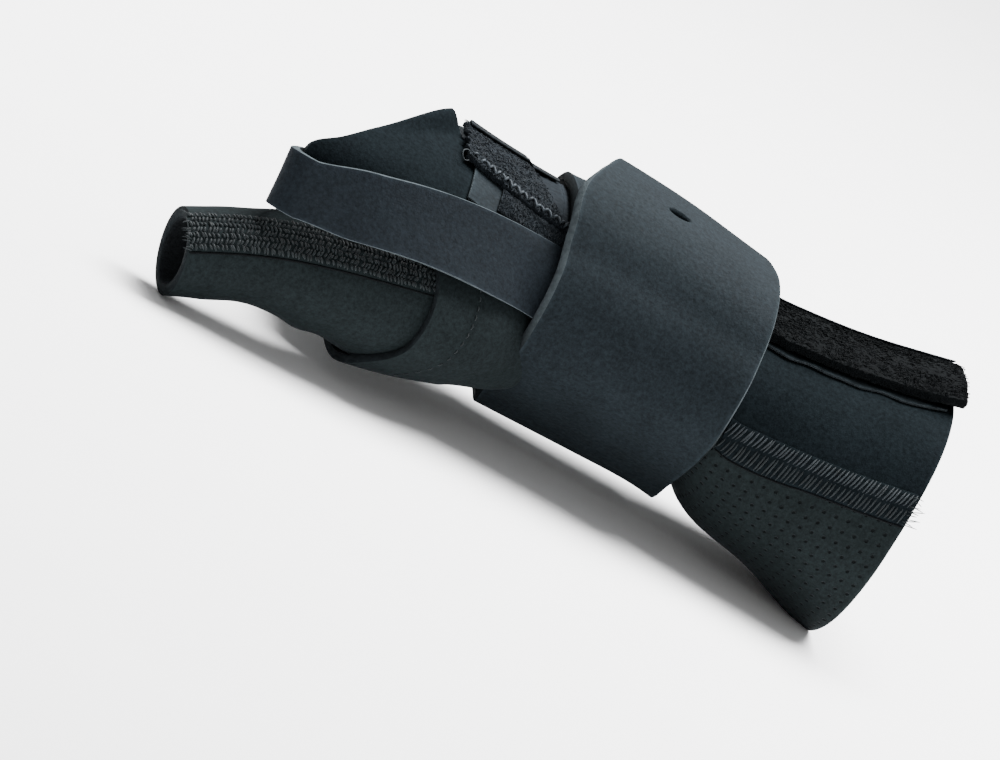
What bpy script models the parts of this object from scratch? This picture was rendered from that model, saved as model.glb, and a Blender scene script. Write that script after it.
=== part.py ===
"""A neoprene wrist and thumb splint, as the separate panels, straps, seams and stay that it is sewn from.

The parts are in metres, +Z up. +X runs from the fingers to the elbow, +Z is the back of the hand and -Y the
thumb side. Every size below is in millimetres and is turned into metres where a mesh is made.

An angle around the arm is 0 on the thumb side, 90 on the back of the hand, 180 on the little finger side and
270 on the palm. A lift is a height above the outer face of the sleeve's panels.
"""

import math

import bmesh
import bpy
from mathutils import Vector

MM = 0.001
GAP = 0.3
PITCH = 2.0  # how far the splint tips towards its fingers, in degrees, to lie on its rim and its thumb sleeve
FLOOR = -40.6  # the height at which it lies then, below the arm's axis
BOX_CENTRE = (6.7, -9.3)  # the middle of the whole splint, which the model's origin lies under

NEOPRENE = 3.0
STRAP_THICKNESS = 2.6
FLAP_THICKNESS = 2.6
HAND_FLAP_THICKNESS = 1.8
HOOK_THICKNESS = 0.6
PATCH_THICKNESS = 0.8
SEAM_THICKNESS = 0.9
SEAM_HALF_ANGLE = 5.6

# The sleeve's outer section along the arm: x, half width, height of the back, height of the palm side.
SLEEVE = (
    (-86, 43.0, 30.0, -12.0),
    (-50, 42.0, 29.6, -18.0),
    (-25, 38.5, 26.8, -24.0),
    (0, 36.0, 25.4, -25.0),
    (28, 34.5, 24.4, -25.0),
    (54, 35.8, 22.8, -26.3),
    (61, 36.4, 22.7, -31.6),
    (68, 37.2, 22.9, -34.9),
    (85, 40.0, 24.3, -38.8),
    (105, 42.3, 27.3, -45.8),
    (116, 43.0, 28.7, -48.6),
)
SECTION_POWER = 2.3  # 2 is an ellipse, more is squarer

# The thumb's tube from its rim to the wrist: x, y, z of its axis and its radius.
THUMB = (
    (-100, -50.0, -25.6, 11.8),
    (-84, -46.3, -19.6, 12.7),
    (-69, -43.0, -16.2, 14.9),
    (-44, -37.0, -13.0, 17.4),
    (-20, -29.5, -9.6, 16.4),
    (-8, -24.5, -10.2, 12.8),
    (4, -15.0, -10.0, 8.5),
)
THUMB_SPLIT = -34.0  # where the thumb sleeve meets the thenar panel
THUMB_RIM_SLANT = 3.5  # how much nearer the wrist the top of the thumb sleeve's rim is than its underside
THUMB_SEAM_REAR = -36.8
THUMB_SEAM_EDGE = ((28, -96.0), (72, -96.0))
# The front edge of the layer over the base of the thumb, by the angle around the thumb.
WRAP_EDGE = ((-125, -49.0), (-60, -47.0), (-25, -39.0), (-4, -36.8), (24, -35.6), (58, -36.0))
WRAP_REAR = -4.0
WRAP_THICKNESS = 2.2

RIM = 110.3  # the elbow rim at the sides
RIM_SLANT = 2.4  # how much further it reaches on the back, and less on the palm
PALM_START = 201.5  # the angle of the far seam, where the palm panel starts
SIDE_GAP = 2.5
SEAM_X = (56.5, 112.0)  # the flat seams, from the wide strap to the elbow rim
PATCH_X = (-27.0, -8.0)
PATCH_BELOW_FLAP = 4.7
PATCH_HALF_ANGLE = 3.5
BACK_START, BACK_END = 86.0, 91.5  # the open slit along the back, under the flap
# The palm panel's front edge runs straight for a share of its width, then curves back to the thumb's hole.
PALM_EDGE = -60.0
THUMB_HOLE_END = -4.0
PALM_CURVE = (0.55, 0.9)
PALM_CURVE_POWER = 1.5
FAR_SIDE_EDGE = -36.0
# The angle of the seam between the thumb side panel and the palm panel, along the arm.
SEAM_WAY = ((-86, -8.0), (0, -8.0), (50, -5.0), (57, -1.0), (66, 4.0), (85, 9.5), (110, 16.5), (118, 18.0))
# The hand's front edge on the thumb side, by the share of the way from the seam to the back.
WEB_EDGE = ((0, -79.0), (0.27, -79.0), (0.42, -72.0), (0.67, -61.5), (1, -44.5))
CORNER_CURL = 5.0  # how far the hand panel's corner on the back lifts
CORNER_LENGTH = 7.0
CORNER_SHARE = 0.62  # the share of the way to the back at which it starts to lift

# The wide strap's two edges by the angle of its way round: it narrows towards its free end.
STRAP_EDGES = (
    (40, -1.0, 54.0),
    (60, -4.0, 54.0),
    (120, -4.0, 54.0),
    (150, -1.0, 54.0),
    (270, -1.0, 53.0),
    (305, -3.2, 53.0),
    (370, -3.4, 54.5),
    (389, -3.8, 55.0),
    (407, -5.3, 55.0),
    (425, -6.2, 54.5),
    (440, -2.0, 54.0),
    (455, 3.5, 52.5),
    (470, 8.0, 51.5),
    (490, 12.0, 50.0),
    (508, 14.0, 49.0),
)
STRAP_ROOM = -4.5  # the thumb's layers stop short of the strap here
ARM_CORE_X = (-72.0, 30.0)  # where the thumb's layers are trimmed to the sleeve
THUMB_CORE_START = -80.0
# The wide strap's way round the wrist: angle and lift of its inner face, over what lies beneath it.
STRAP_WAY = (
    (44, 0.4),
    (50, 2.6),
    (57, 4.8),
    (104, 4.7),
    (122, 4.7),
    (140, 1.6),
    (160, 0.8),
    (212, 0.8),
    (228, 2.6),
    (250, 5.3),
    (270, 4.5),
    (290, 5.3),
    (312, 2.6),
    (328, 0.6),
    (345, 2.2),
    (356, 3.8),
    (388, 4.8),
    (400, 5.6),
    (416, 9.4),
    (432, 12.4),
    (450, 13.4),
    (468, 12.5),
    (484, 10.6),
    (500, 7.2),
    (510, 5.3),
)
STRAP_JOINTS = (396.0, 430.0, 466.0)
STRAP_JOINT_GAP = 0.45  # in degrees, at each side of a joint
STRAP_END = 508.0
STRAP_DROP = 3.0  # how much lower the arch over the back is at the strap's edge nearer the elbow
STRAP_DROP_WAY = ((405, 0.0), (450, 1.0), (470, 1.0), (505, 0.0))
STRAP_SLIT = (21.5, 438.0, 7.0, 2.8)  # x, angle, length and width of the buttonhole slit
CUT_MARGIN = 2.0

HOOK_WAY = (480.0, 505.0)
HOOK_X = (17.0, 46.0)

# The flap along the back: its free edge and the edge that it hinges at.
FLAP_NEAR = ((-40, 65.0), (-31, 62.0), (-4, 53.5), (30, 60.0), (60, 64.0), (112, 71.0), (118, 72.0))
FLAP_FAR = ((-40, 94.0), (-30, 95.0), (-6, 97.0), (10, 104.0), (30, 114.0), (118, 114.0))
FLAP_LIFT = 1.2
FLAP_FLARE = (90.0, 28.0, 1.6)  # towards the elbow it rises: from x, over a length, by a height
FLAP_HAND = (-38.0, -7.2)
FLAP_MIDDLE = (-6.6, 57.5)
FLAP_FOREARM = (58.5, 115.5)
HOOK_INSIDE_FLAP = 10.0  # the angle from the flap's free edge to the middle of its hook tape
HOOK_HALF_ANGLE = 8.0
HAND_HOOK_X = (-35.0, -11.0)
FOREARM_HOOK_X = (64.0, 100.0)

POCKET_SIZE = (78.0, 22.0, 3.2)
POCKET_WALL = 0.8
POCKET_DISTAL = -28.0
POCKET_TOP = -25.8
STAY_SIZE = (74.0, 18.0, 1.6)
STAY_ROUNDING = 0.5

THUMB_STRAP_WIDTH = 17.0
THUMB_STRAP_NARROWING = 4.5  # at the web of the thumb
THUMB_STRAP_ROOM = 2.4
THUMB_STRAP_WAY = ((-76, 6.4), (-60, 9.0), (-40, 11.1), (-20, 11.0), (8, 7.8))
THUMB_STRAP_THICKNESS = 2.4
THUMB_STRAP_STRAIGHT = -45.0  # towards the fingers from here it straightens out at the reach below
THUMB_STRAP_REACH = 45.0
THUMB_STRAP_EASING = 15.0
REACH_BLEND = 12  # how sharply the strap's reach turns from one thing beneath it to the next
THUMB_STRAP_BEND = 5.0
THUMB_STRAP_LEG = 5.0


def between(table, x, column):
    """A column of a table at x, on a smooth curve through its rows."""
    rows = list(table)
    last = len(rows) - 1
    i = 0
    while i < last - 1 and x > rows[i + 1][0]:
        i += 1
    low, high = rows[i], rows[i + 1]
    width = high[0] - low[0]
    share = min(max((x - low[0]) / width, 0.0), 1.0)

    def slope(k):
        before, after = rows[max(k - 1, 0)], rows[min(k + 1, last)]
        return (after[column] - before[column]) / (after[0] - before[0])

    square, cube = share**2, share**3
    return (
        (2 * cube - 3 * square + 1) * low[column]
        + (cube - 2 * square + share) * width * slope(i)
        + (3 * square - 2 * cube) * high[column]
        + (cube - square) * width * slope(i + 1)
    )


def ramp(value, low, high):
    """0 below low and 1 above high, smooth between."""
    share = min(max((value - low) / (high - low), 0.0), 1.0)
    return share**2 * (3 - 2 * share)


def rounded(value):
    """A cosine or sine bent from an ellipse towards the sleeve's squarer section."""
    return math.copysign(abs(value) ** (2 / SECTION_POWER), value)


def on_sleeve(x, degrees, lift):
    """A point at a lift above the sleeve's outer face."""
    top, bottom = between(SLEEVE, x, 2), between(SLEEVE, x, 3)
    angle = math.radians(degrees)
    y = -(between(SLEEVE, x, 1) + lift) * rounded(math.cos(angle))
    z = (top + bottom) / 2 + ((top - bottom) / 2 + lift) * rounded(math.sin(angle))
    return Vector((x, y, z))


def on_thumb(share, degrees, lift):
    """A point around the thumb's tube: share runs from its rim at 0 to the wrist at 1."""
    x = THUMB[0][0] + share * (THUMB[-1][0] - THUMB[0][0])
    centre = Vector((x, between(THUMB, x, 1), between(THUMB, x, 2)))
    ahead = Vector((x + 1, between(THUMB, x + 1, 1), between(THUMB, x + 1, 2)))
    if x + 1 > THUMB[-1][0]:
        behind = Vector((x - 1, between(THUMB, x - 1, 1), between(THUMB, x - 1, 2)))
        ahead = centre + (centre - behind)
    along = (ahead - centre).normalized()
    side = along.cross(Vector((0, 0, 1))).normalized()
    up = side.cross(along)
    angle = math.radians(degrees)
    radius = between(THUMB, x, 3) + lift
    return centre + radius * (math.cos(angle) * side + math.sin(angle) * up)


def thumb_share(x):
    return (x - THUMB[0][0]) / (THUMB[-1][0] - THUMB[0][0])


def placed(point):
    """The point in the model's frame, in metres: tipped to lie flat, then moved."""
    x, y, z = point
    pitch = math.radians(PITCH)
    across = x * math.cos(pitch) - z * math.sin(pitch)
    height = x * math.sin(pitch) + z * math.cos(pitch)
    return Vector((across - BOX_CENTRE[0], y - BOX_CENTRE[1], height - FLOOR)) * MM


def floor_under(x):
    """The height, in the arm's own frame, of the surface that the tipped splint lies on."""
    pitch = math.radians(PITCH)
    return (FLOOR - x * math.sin(pitch)) / math.cos(pitch)


def rim_at(degrees):
    """Where the elbow rim is at an angle around the arm."""
    return RIM + RIM_SLANT * math.sin(math.radians(degrees))


def clear_scene():
    for thing in list(bpy.data.objects):
        bpy.data.objects.remove(thing, do_unlink=True)


def new_collection(name):
    collection = bpy.data.collections.new(name)
    bpy.context.scene.collection.children.link(collection)
    return collection


def material(name, colour, roughness, metallic=0.0):
    made = bpy.data.materials.new(name)
    made.use_nodes = True
    shader = made.node_tree.nodes["Principled BSDF"]
    shader.inputs["Base Color"].default_value = (*colour, 1.0)
    shader.inputs["Roughness"].default_value = roughness
    shader.inputs["Metallic"].default_value = metallic
    return made


def add_object(name, mesh, look, collection):
    part = bpy.data.objects.new(name, mesh)
    if look:
        mesh.materials.append(look)
    collection.objects.link(part)
    return part


def bent_grid(name, surface, steps, look, collection):
    """An open sheet: a flat grid whose corners run from 0 to 1 each way, moved onto a surface."""
    grid = bmesh.new()
    bmesh.ops.create_grid(grid, x_segments=steps[0], y_segments=steps[1], size=0.5)
    for corner in grid.verts:
        corner.co = placed(surface(corner.co.x + 0.5, corner.co.y + 0.5))
    mesh = bpy.data.meshes.new(name)
    grid.to_mesh(mesh)
    grid.free()
    mesh.shade_smooth()
    mesh.set_sharp_from_angle(angle=math.radians(50))
    return add_object(name, mesh, look, collection)


def thicken(part, thickness, offset):
    """Makes an open sheet a closed one. Offset 1 grows it along its faces' normals, and -1 against them."""
    solid = part.modifiers.new("thickness", "SOLIDIFY")
    solid.thickness = thickness * MM
    solid.offset = offset
    solid.use_even_offset = True
    solid.use_quality_normals = True
    return part


def cut(part, cutter):
    made = part.modifiers.new("cut", "BOOLEAN")
    made.operation = "DIFFERENCE"
    made.solver = "EXACT"
    made.object = cutter
    return part


def closed_loft(name, rings, collection):
    """A filled tube through rings of equally many points, as a cutter."""
    loft = bmesh.new()
    made = [[loft.verts.new(placed(point)) for point in ring] for ring in rings]
    count = len(made[0])
    for one, two in zip(made, made[1:]):
        for i in range(count):
            loft.faces.new((one[i], one[(i + 1) % count], two[(i + 1) % count], two[i]))
    loft.faces.new(list(reversed(made[0])))
    loft.faces.new(made[-1])
    bmesh.ops.recalc_face_normals(loft, faces=loft.faces)
    mesh = bpy.data.meshes.new(name)
    loft.to_mesh(mesh)
    loft.free()
    cutter = add_object(name, mesh, None, collection)
    cutter.hide_render = True
    cutter.display_type = "WIRE"
    return cutter


def steps_between(low, high, count):
    return [low + (high - low) * i / count for i in range(count + 1)]


def arm_core(collection):
    """All that the sleeve's outer face holds, a gap larger, to trim what is sewn onto it."""
    rings = [
        [on_sleeve(x, degrees, GAP) for degrees in range(0, 360, 6)]
        for x in steps_between(*ARM_CORE_X, 17)
    ]
    return closed_loft("arm_core", rings, collection)


def thumb_core(collection):
    """The room that the thumb needs through the palm panel."""
    rings = [
        [on_thumb(share, degrees, -NEOPRENE) for degrees in range(0, 360, 12)]
        for share in steps_between(thumb_share(THUMB_CORE_START), 1.0, 12)
    ]
    return closed_loft("thumb_core", rings, collection)


def strap_room(collection):
    """The space just behind the wide strap's front edge, which the thumb's layers stop short of."""
    length, width = 60.0, 120.0
    middle = STRAP_ROOM + length / 2
    room = box("strap_room", (middle, 0, 0), (length, width, width), None, collection)
    room.hide_render = True
    room.display_type = "WIRE"
    return room


def seam_angle(x):
    """Where the thumb side panel meets the palm panel."""
    return between(SEAM_WAY, x, 1)


def far_seam_angle(x):
    """Where the little finger side panel meets the palm panel, which is the same all along the arm."""
    return PALM_START - 1.0


def palm_panel(look, collection, thumb_room):
    def surface(u, v):
        thumb_side = min(max((v - PALM_CURVE[0]) / (PALM_CURVE[1] - PALM_CURVE[0]), 0.0), 1.0)
        edge = PALM_EDGE + (THUMB_HOLE_END - PALM_EDGE) * thumb_side**PALM_CURVE_POWER
        x = edge + u * (rim_at(PALM_START + v * (360.0 - PALM_START)) - edge)
        high = 360.0 + seam_angle(x) - 1.2
        point = on_sleeve(x, PALM_START + v * (high - PALM_START), 0)
        point.z = max(point.z, floor_under(x))
        return point

    sheet = bent_grid("palm_panel", surface, (26, 18), look, collection)
    return cut(thicken(sheet, NEOPRENE, -1), thumb_room)


def thumb_side_panel(look, collection):
    def surface(u, v):
        edge = between(WEB_EDGE, v, 1)
        x = edge + u * (rim_at(BACK_START * v) - edge)
        near = seam_angle(x) + 1.2
        curl = CORNER_CURL * ramp(v, CORNER_SHARE, 1.0) * (1 - ramp(x, edge, edge + CORNER_LENGTH))
        return on_sleeve(x, near + v * (BACK_START - near), curl)

    sheet = bent_grid("thumb_side_panel", surface, (24, 8), look, collection)
    return thicken(sheet, NEOPRENE, -1)


def little_finger_side_panel(look, collection):
    def surface(u, v):
        degrees = BACK_END + v * (PALM_START - SIDE_GAP - BACK_END)
        x = FAR_SIDE_EDGE + u * (rim_at(degrees) - FAR_SIDE_EDGE)
        return on_sleeve(x, degrees, 0)

    sheet = bent_grid("little_finger_side_panel", surface, (20, 10), look, collection)
    return thicken(sheet, NEOPRENE, -1)


def arm_strip(name, x_range, angle_of, half_width, thickness, look, collection):
    """A strip of tape or stitching that runs along the arm on the sleeve."""

    def surface(u, v):
        x = x_range[0] + u * (x_range[1] - x_range[0])
        return on_sleeve(x, angle_of(x) + (v - 0.5) * 2 * half_width, GAP)

    sheet = bent_grid(name, surface, (12, 2), look, collection)
    return thicken(sheet, thickness, 1)


def thumb_tube(name, x_range, slant, look, collection, rooms):
    def surface(u, v):
        start = x_range[0] + slant * (1 + math.sin(2 * math.pi * v)) / 2
        return on_thumb(thumb_share(start + u * (x_range[1] - start)), 360 * v, 0)

    sheet = bent_grid(name, surface, (8, 28), look, collection)
    edit = bmesh.new()
    edit.from_mesh(sheet.data)
    bmesh.ops.remove_doubles(edit, verts=edit.verts, dist=0.01 * MM)
    edit.to_mesh(sheet.data)
    edit.free()
    thicken(sheet, NEOPRENE, -1)
    for room in rooms:
        cut(sheet, room)
    return sheet


def thumb_patch(name, front_edge, rear_x, thickness, steps, look, collection, rooms):
    """A layer on the thumb's tube. front_edge gives its front edge's x by the angle round the thumb."""
    start, end = front_edge[0][0], front_edge[-1][0]

    def surface(u, v):
        degrees = start + v * (end - start)
        front = between(front_edge, degrees, 1)
        return on_thumb(thumb_share(front + u * (rear_x - front)), degrees, GAP)

    sheet = thicken(bent_grid(name, surface, steps, look, collection), thickness, 1)
    for room in rooms:
        cut(sheet, room)
    return sheet


def strap_point(x, way, lift):
    """A point at a lift above the wide strap's inner face, at x and an angle of its way round."""
    low, high = between(STRAP_EDGES, way, 1), between(STRAP_EDGES, way, 2)
    across = min(max((x - low) / (high - low), 0.0), 1.0)
    drop = STRAP_DROP * across**1.5 * between(STRAP_DROP_WAY, way, 1)
    return on_sleeve(x, way, between(STRAP_WAY, way, 1) + lift - drop)


def strap_piece(name, start, end, steps, look, collection):
    def surface(u, v):
        way = start + v * (end - start)
        low, high = between(STRAP_EDGES, way, 1), between(STRAP_EDGES, way, 2)
        return strap_point(low + u * (high - low), way, 0)

    sheet = bent_grid(name, surface, (5, steps), look, collection)
    return thicken(sheet, STRAP_THICKNESS, 1)


def slit_cutter(collection):
    """The buttonhole slit through the wide strap near its free end."""
    x, way, length, width = STRAP_SLIT
    angle_step = math.degrees(width / 2 / between(SLEEVE, x, 1))
    rings = [
        [
            strap_point(x + dx, way + da, rise)
            for dx, da in (
                (-length / 2, -angle_step),
                (length / 2, -angle_step),
                (length / 2, angle_step),
                (-length / 2, angle_step),
            )
        ]
        for rise in (-CUT_MARGIN, STRAP_THICKNESS + CUT_MARGIN)
    ]
    return closed_loft("slit_cutter", rings, collection)


def flap_near(x):
    """The free edge of the flap along the back, which tapers towards both ends."""
    return between(FLAP_NEAR, x, 1)


def flap_piece(name, x_range, thickness, steps, look, collection):
    start, length, height = FLAP_FLARE

    def surface(u, v):
        x = x_range[0] + u * (x_range[1] - x_range[0])
        near, far = flap_near(x), between(FLAP_FAR, x, 1)
        rise = height * (max(x - start, 0.0) / length) ** 2
        return on_sleeve(x, near + v * (far - near), FLAP_LIFT + rise)

    sheet = bent_grid(name, surface, steps, look, collection)
    return thicken(sheet, thickness, 1)


def hook_angle(x):
    """The middle of the hook tape under the flap's free edge, which grips the thumb side panel."""
    return flap_near(x) + HOOK_INSIDE_FLAP


def patch_angle(x):
    """The middle of the patch beside the flap on the back of the hand."""
    return flap_near(x) - PATCH_BELOW_FLAP


def strap_hook(look, collection):
    """The hook tape under the wide strap's free end."""

    def surface(u, v):
        way = HOOK_WAY[0] + v * (HOOK_WAY[1] - HOOK_WAY[0])
        x = HOOK_X[0] + u * (HOOK_X[1] - HOOK_X[0])
        return strap_point(x, way, -GAP - HOOK_THICKNESS)

    sheet = bent_grid("wrist_strap_hook", surface, (4, 5), look, collection)
    return thicken(sheet, HOOK_THICKNESS, 1)


def radial_reach(x, z):
    """How far out the thumb side of hand and thumb reaches at a height, with a gap, seam and wrap on it."""
    top, bottom = between(SLEEVE, x, 2), between(SLEEVE, x, 3)
    share = min(abs((z - (top + bottom) / 2) / ((top - bottom) / 2)), 0.98)
    hand = between(SLEEVE, x, 1) * (1 - share**SECTION_POWER) ** (1 / SECTION_POWER) + 2 * GAP
    radius = between(THUMB, x, 3) + WRAP_THICKNESS + THUMB_STRAP_ROOM
    rise = z - between(THUMB, x, 2)
    over = max(rise - radius, 0.0)
    thumb = max(math.sqrt(max(radius**2 - rise**2, 0.0)) - between(THUMB, x, 1) - 2 * over, 0.0)
    web = THUMB_STRAP_REACH * min(max((THUMB_STRAP_STRAIGHT - x) / THUMB_STRAP_EASING, 0.0), 1.0)
    return (hand**REACH_BLEND + thumb**REACH_BLEND + web**REACH_BLEND) ** (1 / REACH_BLEND)


def thumb_strap(look, collection):
    """Along the thumb side of the hand, then round the web between thumb and finger to a short inner leg."""
    start, turn = THUMB_STRAP_WAY[-1][0], THUMB_STRAP_WAY[0][0]
    straight = start - turn
    bend = math.pi * THUMB_STRAP_BEND
    whole = straight + bend + THUMB_STRAP_LEG

    def surface(u, v):
        run = u * whole
        x = max(start - run, turn)
        width = THUMB_STRAP_WIDTH - THUMB_STRAP_NARROWING * ramp(-x, 60.0, -turn)
        z = between(THUMB_STRAP_WAY, x, 1) + (v - 0.5) * width
        y = -radial_reach(x, z)
        if run > straight:
            turned = min((run - straight) / bend, 1.0) * math.pi
            leg = max(run - straight - bend, 0.0)
            x = turn - THUMB_STRAP_BEND * math.sin(turned) + leg
            y += THUMB_STRAP_BEND * (1 - math.cos(turned))
        return Vector((x, y, z))

    sheet = bent_grid("thumb_strap", surface, (34, 4), look, collection)
    return thicken(sheet, THUMB_STRAP_THICKNESS, -1)


def box(name, centre, size, look, collection):
    made = bmesh.new()
    bmesh.ops.create_cube(made, size=1.0)
    for corner in made.verts:
        corner.co = placed([middle + side * length for middle, side, length in zip(centre, corner.co, size)])
    mesh = bpy.data.meshes.new(name)
    made.to_mesh(mesh)
    made.free()
    return add_object(name, mesh, look, collection)


def stay_pocket(look, collection, cutters):
    """A sewn pocket on the palm side, open towards the fingers."""
    length, width, height = POCKET_SIZE
    middle = POCKET_DISTAL + length / 2
    pocket = box("stay_pocket", (middle, 0, POCKET_TOP - height / 2), POCKET_SIZE, look, collection)
    inner = (length, width - 2 * POCKET_WALL, height)
    room = box(
        "pocket_room",
        (middle - POCKET_WALL, 0, POCKET_TOP - height / 2 + POCKET_WALL),
        inner,
        None,
        cutters,
    )
    room.hide_render = True
    room.display_type = "WIRE"
    return cut(pocket, room)


def palm_stay(look, collection):
    """The flat aluminium bar in the pocket, with rounded corners."""
    length, width, height = STAY_SIZE
    middle = POCKET_DISTAL + 1.0 + length / 2
    centre_z = POCKET_TOP - POCKET_SIZE[2] + POCKET_WALL + GAP + height / 2
    stay = box("palm_stay", (middle, 0, centre_z), STAY_SIZE, look, collection)
    edge = stay.modifiers.new("rounding", "BEVEL")
    edge.width = STAY_ROUNDING * MM
    edge.segments = 2
    return stay


def build():
    clear_scene()
    parts = new_collection("wrist_splint")
    cutters = new_collection("cutters")

    smooth = material("smooth_neoprene", (0.045, 0.055, 0.062), 0.85)
    perforated = material("perforated_neoprene", (0.030, 0.037, 0.040), 0.9)
    strap_face = material("strap_neoprene", (0.050, 0.060, 0.068), 0.8)
    loop = material("loop_pile", (0.022, 0.024, 0.026), 1.0)
    thread = material("thread", (0.06, 0.07, 0.075), 0.8)
    hook = material("hook_tape", (0.015, 0.016, 0.018), 0.6)
    aluminium = material("aluminium", (0.75, 0.76, 0.77), 0.35, 1.0)

    rooms = (arm_core(cutters), strap_room(cutters))
    thumb_room = thumb_core(cutters)
    palm_panel(perforated, parts, thumb_room)
    thumb_side_panel(smooth, parts)
    little_finger_side_panel(smooth, parts)
    arm_strip("forearm_seam", SEAM_X, seam_angle, SEAM_HALF_ANGLE, SEAM_THICKNESS, thread, parts)
    arm_strip("far_seam", SEAM_X, far_seam_angle, SEAM_HALF_ANGLE, SEAM_THICKNESS, thread, parts)

    thumb_tube("thumb_sleeve", (THUMB[0][0], THUMB_SPLIT), THUMB_RIM_SLANT, smooth, parts, rooms)
    thumb_tube("thenar_panel", (THUMB_SPLIT + GAP, THUMB[-1][0] - 1), 0, smooth, parts, rooms)
    thumb_patch(
        "thumb_seam", THUMB_SEAM_EDGE, THUMB_SEAM_REAR, SEAM_THICKNESS, (10, 3), thread, parts, rooms
    )
    thumb_patch("thumb_wrap", WRAP_EDGE, WRAP_REAR, WRAP_THICKNESS, (8, 14), smooth, parts, rooms)
    thumb_strap(strap_face, parts)

    first, *_ = STRAP_JOINTS
    strap_piece("wrist_strap", STRAP_WAY[0][0], first - STRAP_JOINT_GAP, 56, strap_face, parts)
    ends = (*STRAP_JOINTS, STRAP_END)
    for i, (start, end) in enumerate(zip(ends, ends[1:])):
        name = f"wrist_strap_tail_{i + 1}"
        tail = strap_piece(name, start + STRAP_JOINT_GAP, end - STRAP_JOINT_GAP, 6, strap_face, parts)
        if start < STRAP_SLIT[1] < end:
            cut(tail, slit_cutter(cutters))
    strap_hook(hook, parts)

    flap_piece("closure_flap_hand", FLAP_HAND, HAND_FLAP_THICKNESS, (5, 5), loop, parts)
    flap_piece("closure_flap_middle", FLAP_MIDDLE, FLAP_THICKNESS, (8, 5), loop, parts)
    flap_piece("closure_flap_forearm", FLAP_FOREARM, FLAP_THICKNESS, (8, 5), loop, parts)
    for name, x_range in (("hand_hook_tape", HAND_HOOK_X), ("forearm_hook_tape", FOREARM_HOOK_X)):
        arm_strip(name, x_range, hook_angle, HOOK_HALF_ANGLE, HOOK_THICKNESS, hook, parts)
    arm_strip("hand_patch", PATCH_X, patch_angle, PATCH_HALF_ANGLE, PATCH_THICKNESS, thread, parts)

    stay_pocket(smooth, parts, cutters)
    palm_stay(aluminium, parts)


build()
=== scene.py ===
"""The looks of the wrist splint: every sewn layer, strap, seam and thread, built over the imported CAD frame.

Sizes are in millimetres in the arm's own frame, as the CAD's are, and placed() turns them into metres.
An angle around the arm is 0 on the thumb side, 90 on its back, 180 on the little finger side and 270 on
the palm. A lift is a height above the outer face of the sleeve's panels.
"""

import math
import random
from functools import partial

import bpy
import numpy as np
from mathutils import Matrix, Vector, noise


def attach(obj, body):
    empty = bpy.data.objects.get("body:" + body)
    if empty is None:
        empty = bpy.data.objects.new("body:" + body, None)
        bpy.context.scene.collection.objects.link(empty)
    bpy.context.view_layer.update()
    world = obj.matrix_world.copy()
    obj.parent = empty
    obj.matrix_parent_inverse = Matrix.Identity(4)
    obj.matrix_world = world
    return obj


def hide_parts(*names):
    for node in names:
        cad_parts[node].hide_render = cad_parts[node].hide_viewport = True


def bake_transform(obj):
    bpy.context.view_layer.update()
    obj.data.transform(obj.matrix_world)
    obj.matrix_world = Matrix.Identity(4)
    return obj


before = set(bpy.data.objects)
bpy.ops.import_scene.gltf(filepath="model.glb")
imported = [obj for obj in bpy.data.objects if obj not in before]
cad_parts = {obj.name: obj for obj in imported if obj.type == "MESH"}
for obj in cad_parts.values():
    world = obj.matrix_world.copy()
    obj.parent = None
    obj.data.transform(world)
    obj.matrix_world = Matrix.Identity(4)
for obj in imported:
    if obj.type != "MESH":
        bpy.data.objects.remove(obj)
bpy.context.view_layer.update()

MM = 0.001
PITCH = math.radians(2.0)  # how far the splint tips towards its fingers to lie flat
ORIGIN = np.array((6.7, -9.3, -40.6))  # the frame's origin, after the tip

NEOPRENE = 3.0
STRAP_THICKNESS = 2.6
SECTION_POWER = 2.3  # of the sleeve's section: 2 is an ellipse, more is squarer
HOLE_PITCH, HOLE_RADIUS = 3.4, 0.46  # of the palm panel's punched holes
RIM_TURNS = (0.12, 0.5, 0.88)  # shares of the way from the outer face to the inner one round a cut edge

# x, half width, height of the back and of the palm side: the CAD sleeve's outer section.
SLEEVE = np.array((
    (-86, 43.0, 30.0, -12.0),
    (-50, 42.0, 29.6, -18.0),
    (-25, 38.5, 26.8, -24.0),
    (0, 36.0, 25.4, -25.0),
    (28, 34.5, 24.4, -25.0),
    (54, 35.8, 22.8, -26.3),
    (61, 36.4, 22.7, -31.6),
    (68, 37.2, 22.9, -34.9),
    (85, 40.0, 24.3, -38.8),
    (105, 42.3, 27.3, -45.8),
    (116, 43.0, 28.7, -48.6),
))
# x, y, z of the thumb tube's axis and its radius.
THUMB = np.array((
    (-100, -50.0, -25.6, 11.8),
    (-84, -46.3, -19.6, 12.7),
    (-69, -43.0, -16.2, 14.9),
    (-44, -37.0, -13.0, 17.4),
    (-20, -29.5, -9.6, 16.4),
    (-8, -24.5, -10.2, 12.8),
    (4, -15.0, -10.0, 8.5),
))
# Where the panels meet: the far seam, the two sides of the open slit along the back, and the thumb's layers.
PALM_START = 201.2
BACK_START, BACK_END = 86.0, 91.5
RIM_X, RIM_LEAN = 110.3, 2.4  # the elbow rim, and how much further it is on the back than halfway down
THUMB_SPLIT = -34.0
PALM_EDGE, FAR_SIDE_EDGE = -60.0, -36.0  # the front edges of the palm panel and the little finger side's
THUMB_HOLE_DEPTH = 56.0  # how much further back the palm panel starts beside the thumb
CORNER_CURL, CORNER_LENGTH = 5.0, 7.0  # how the hand panel's front corner on the back lifts

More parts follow.
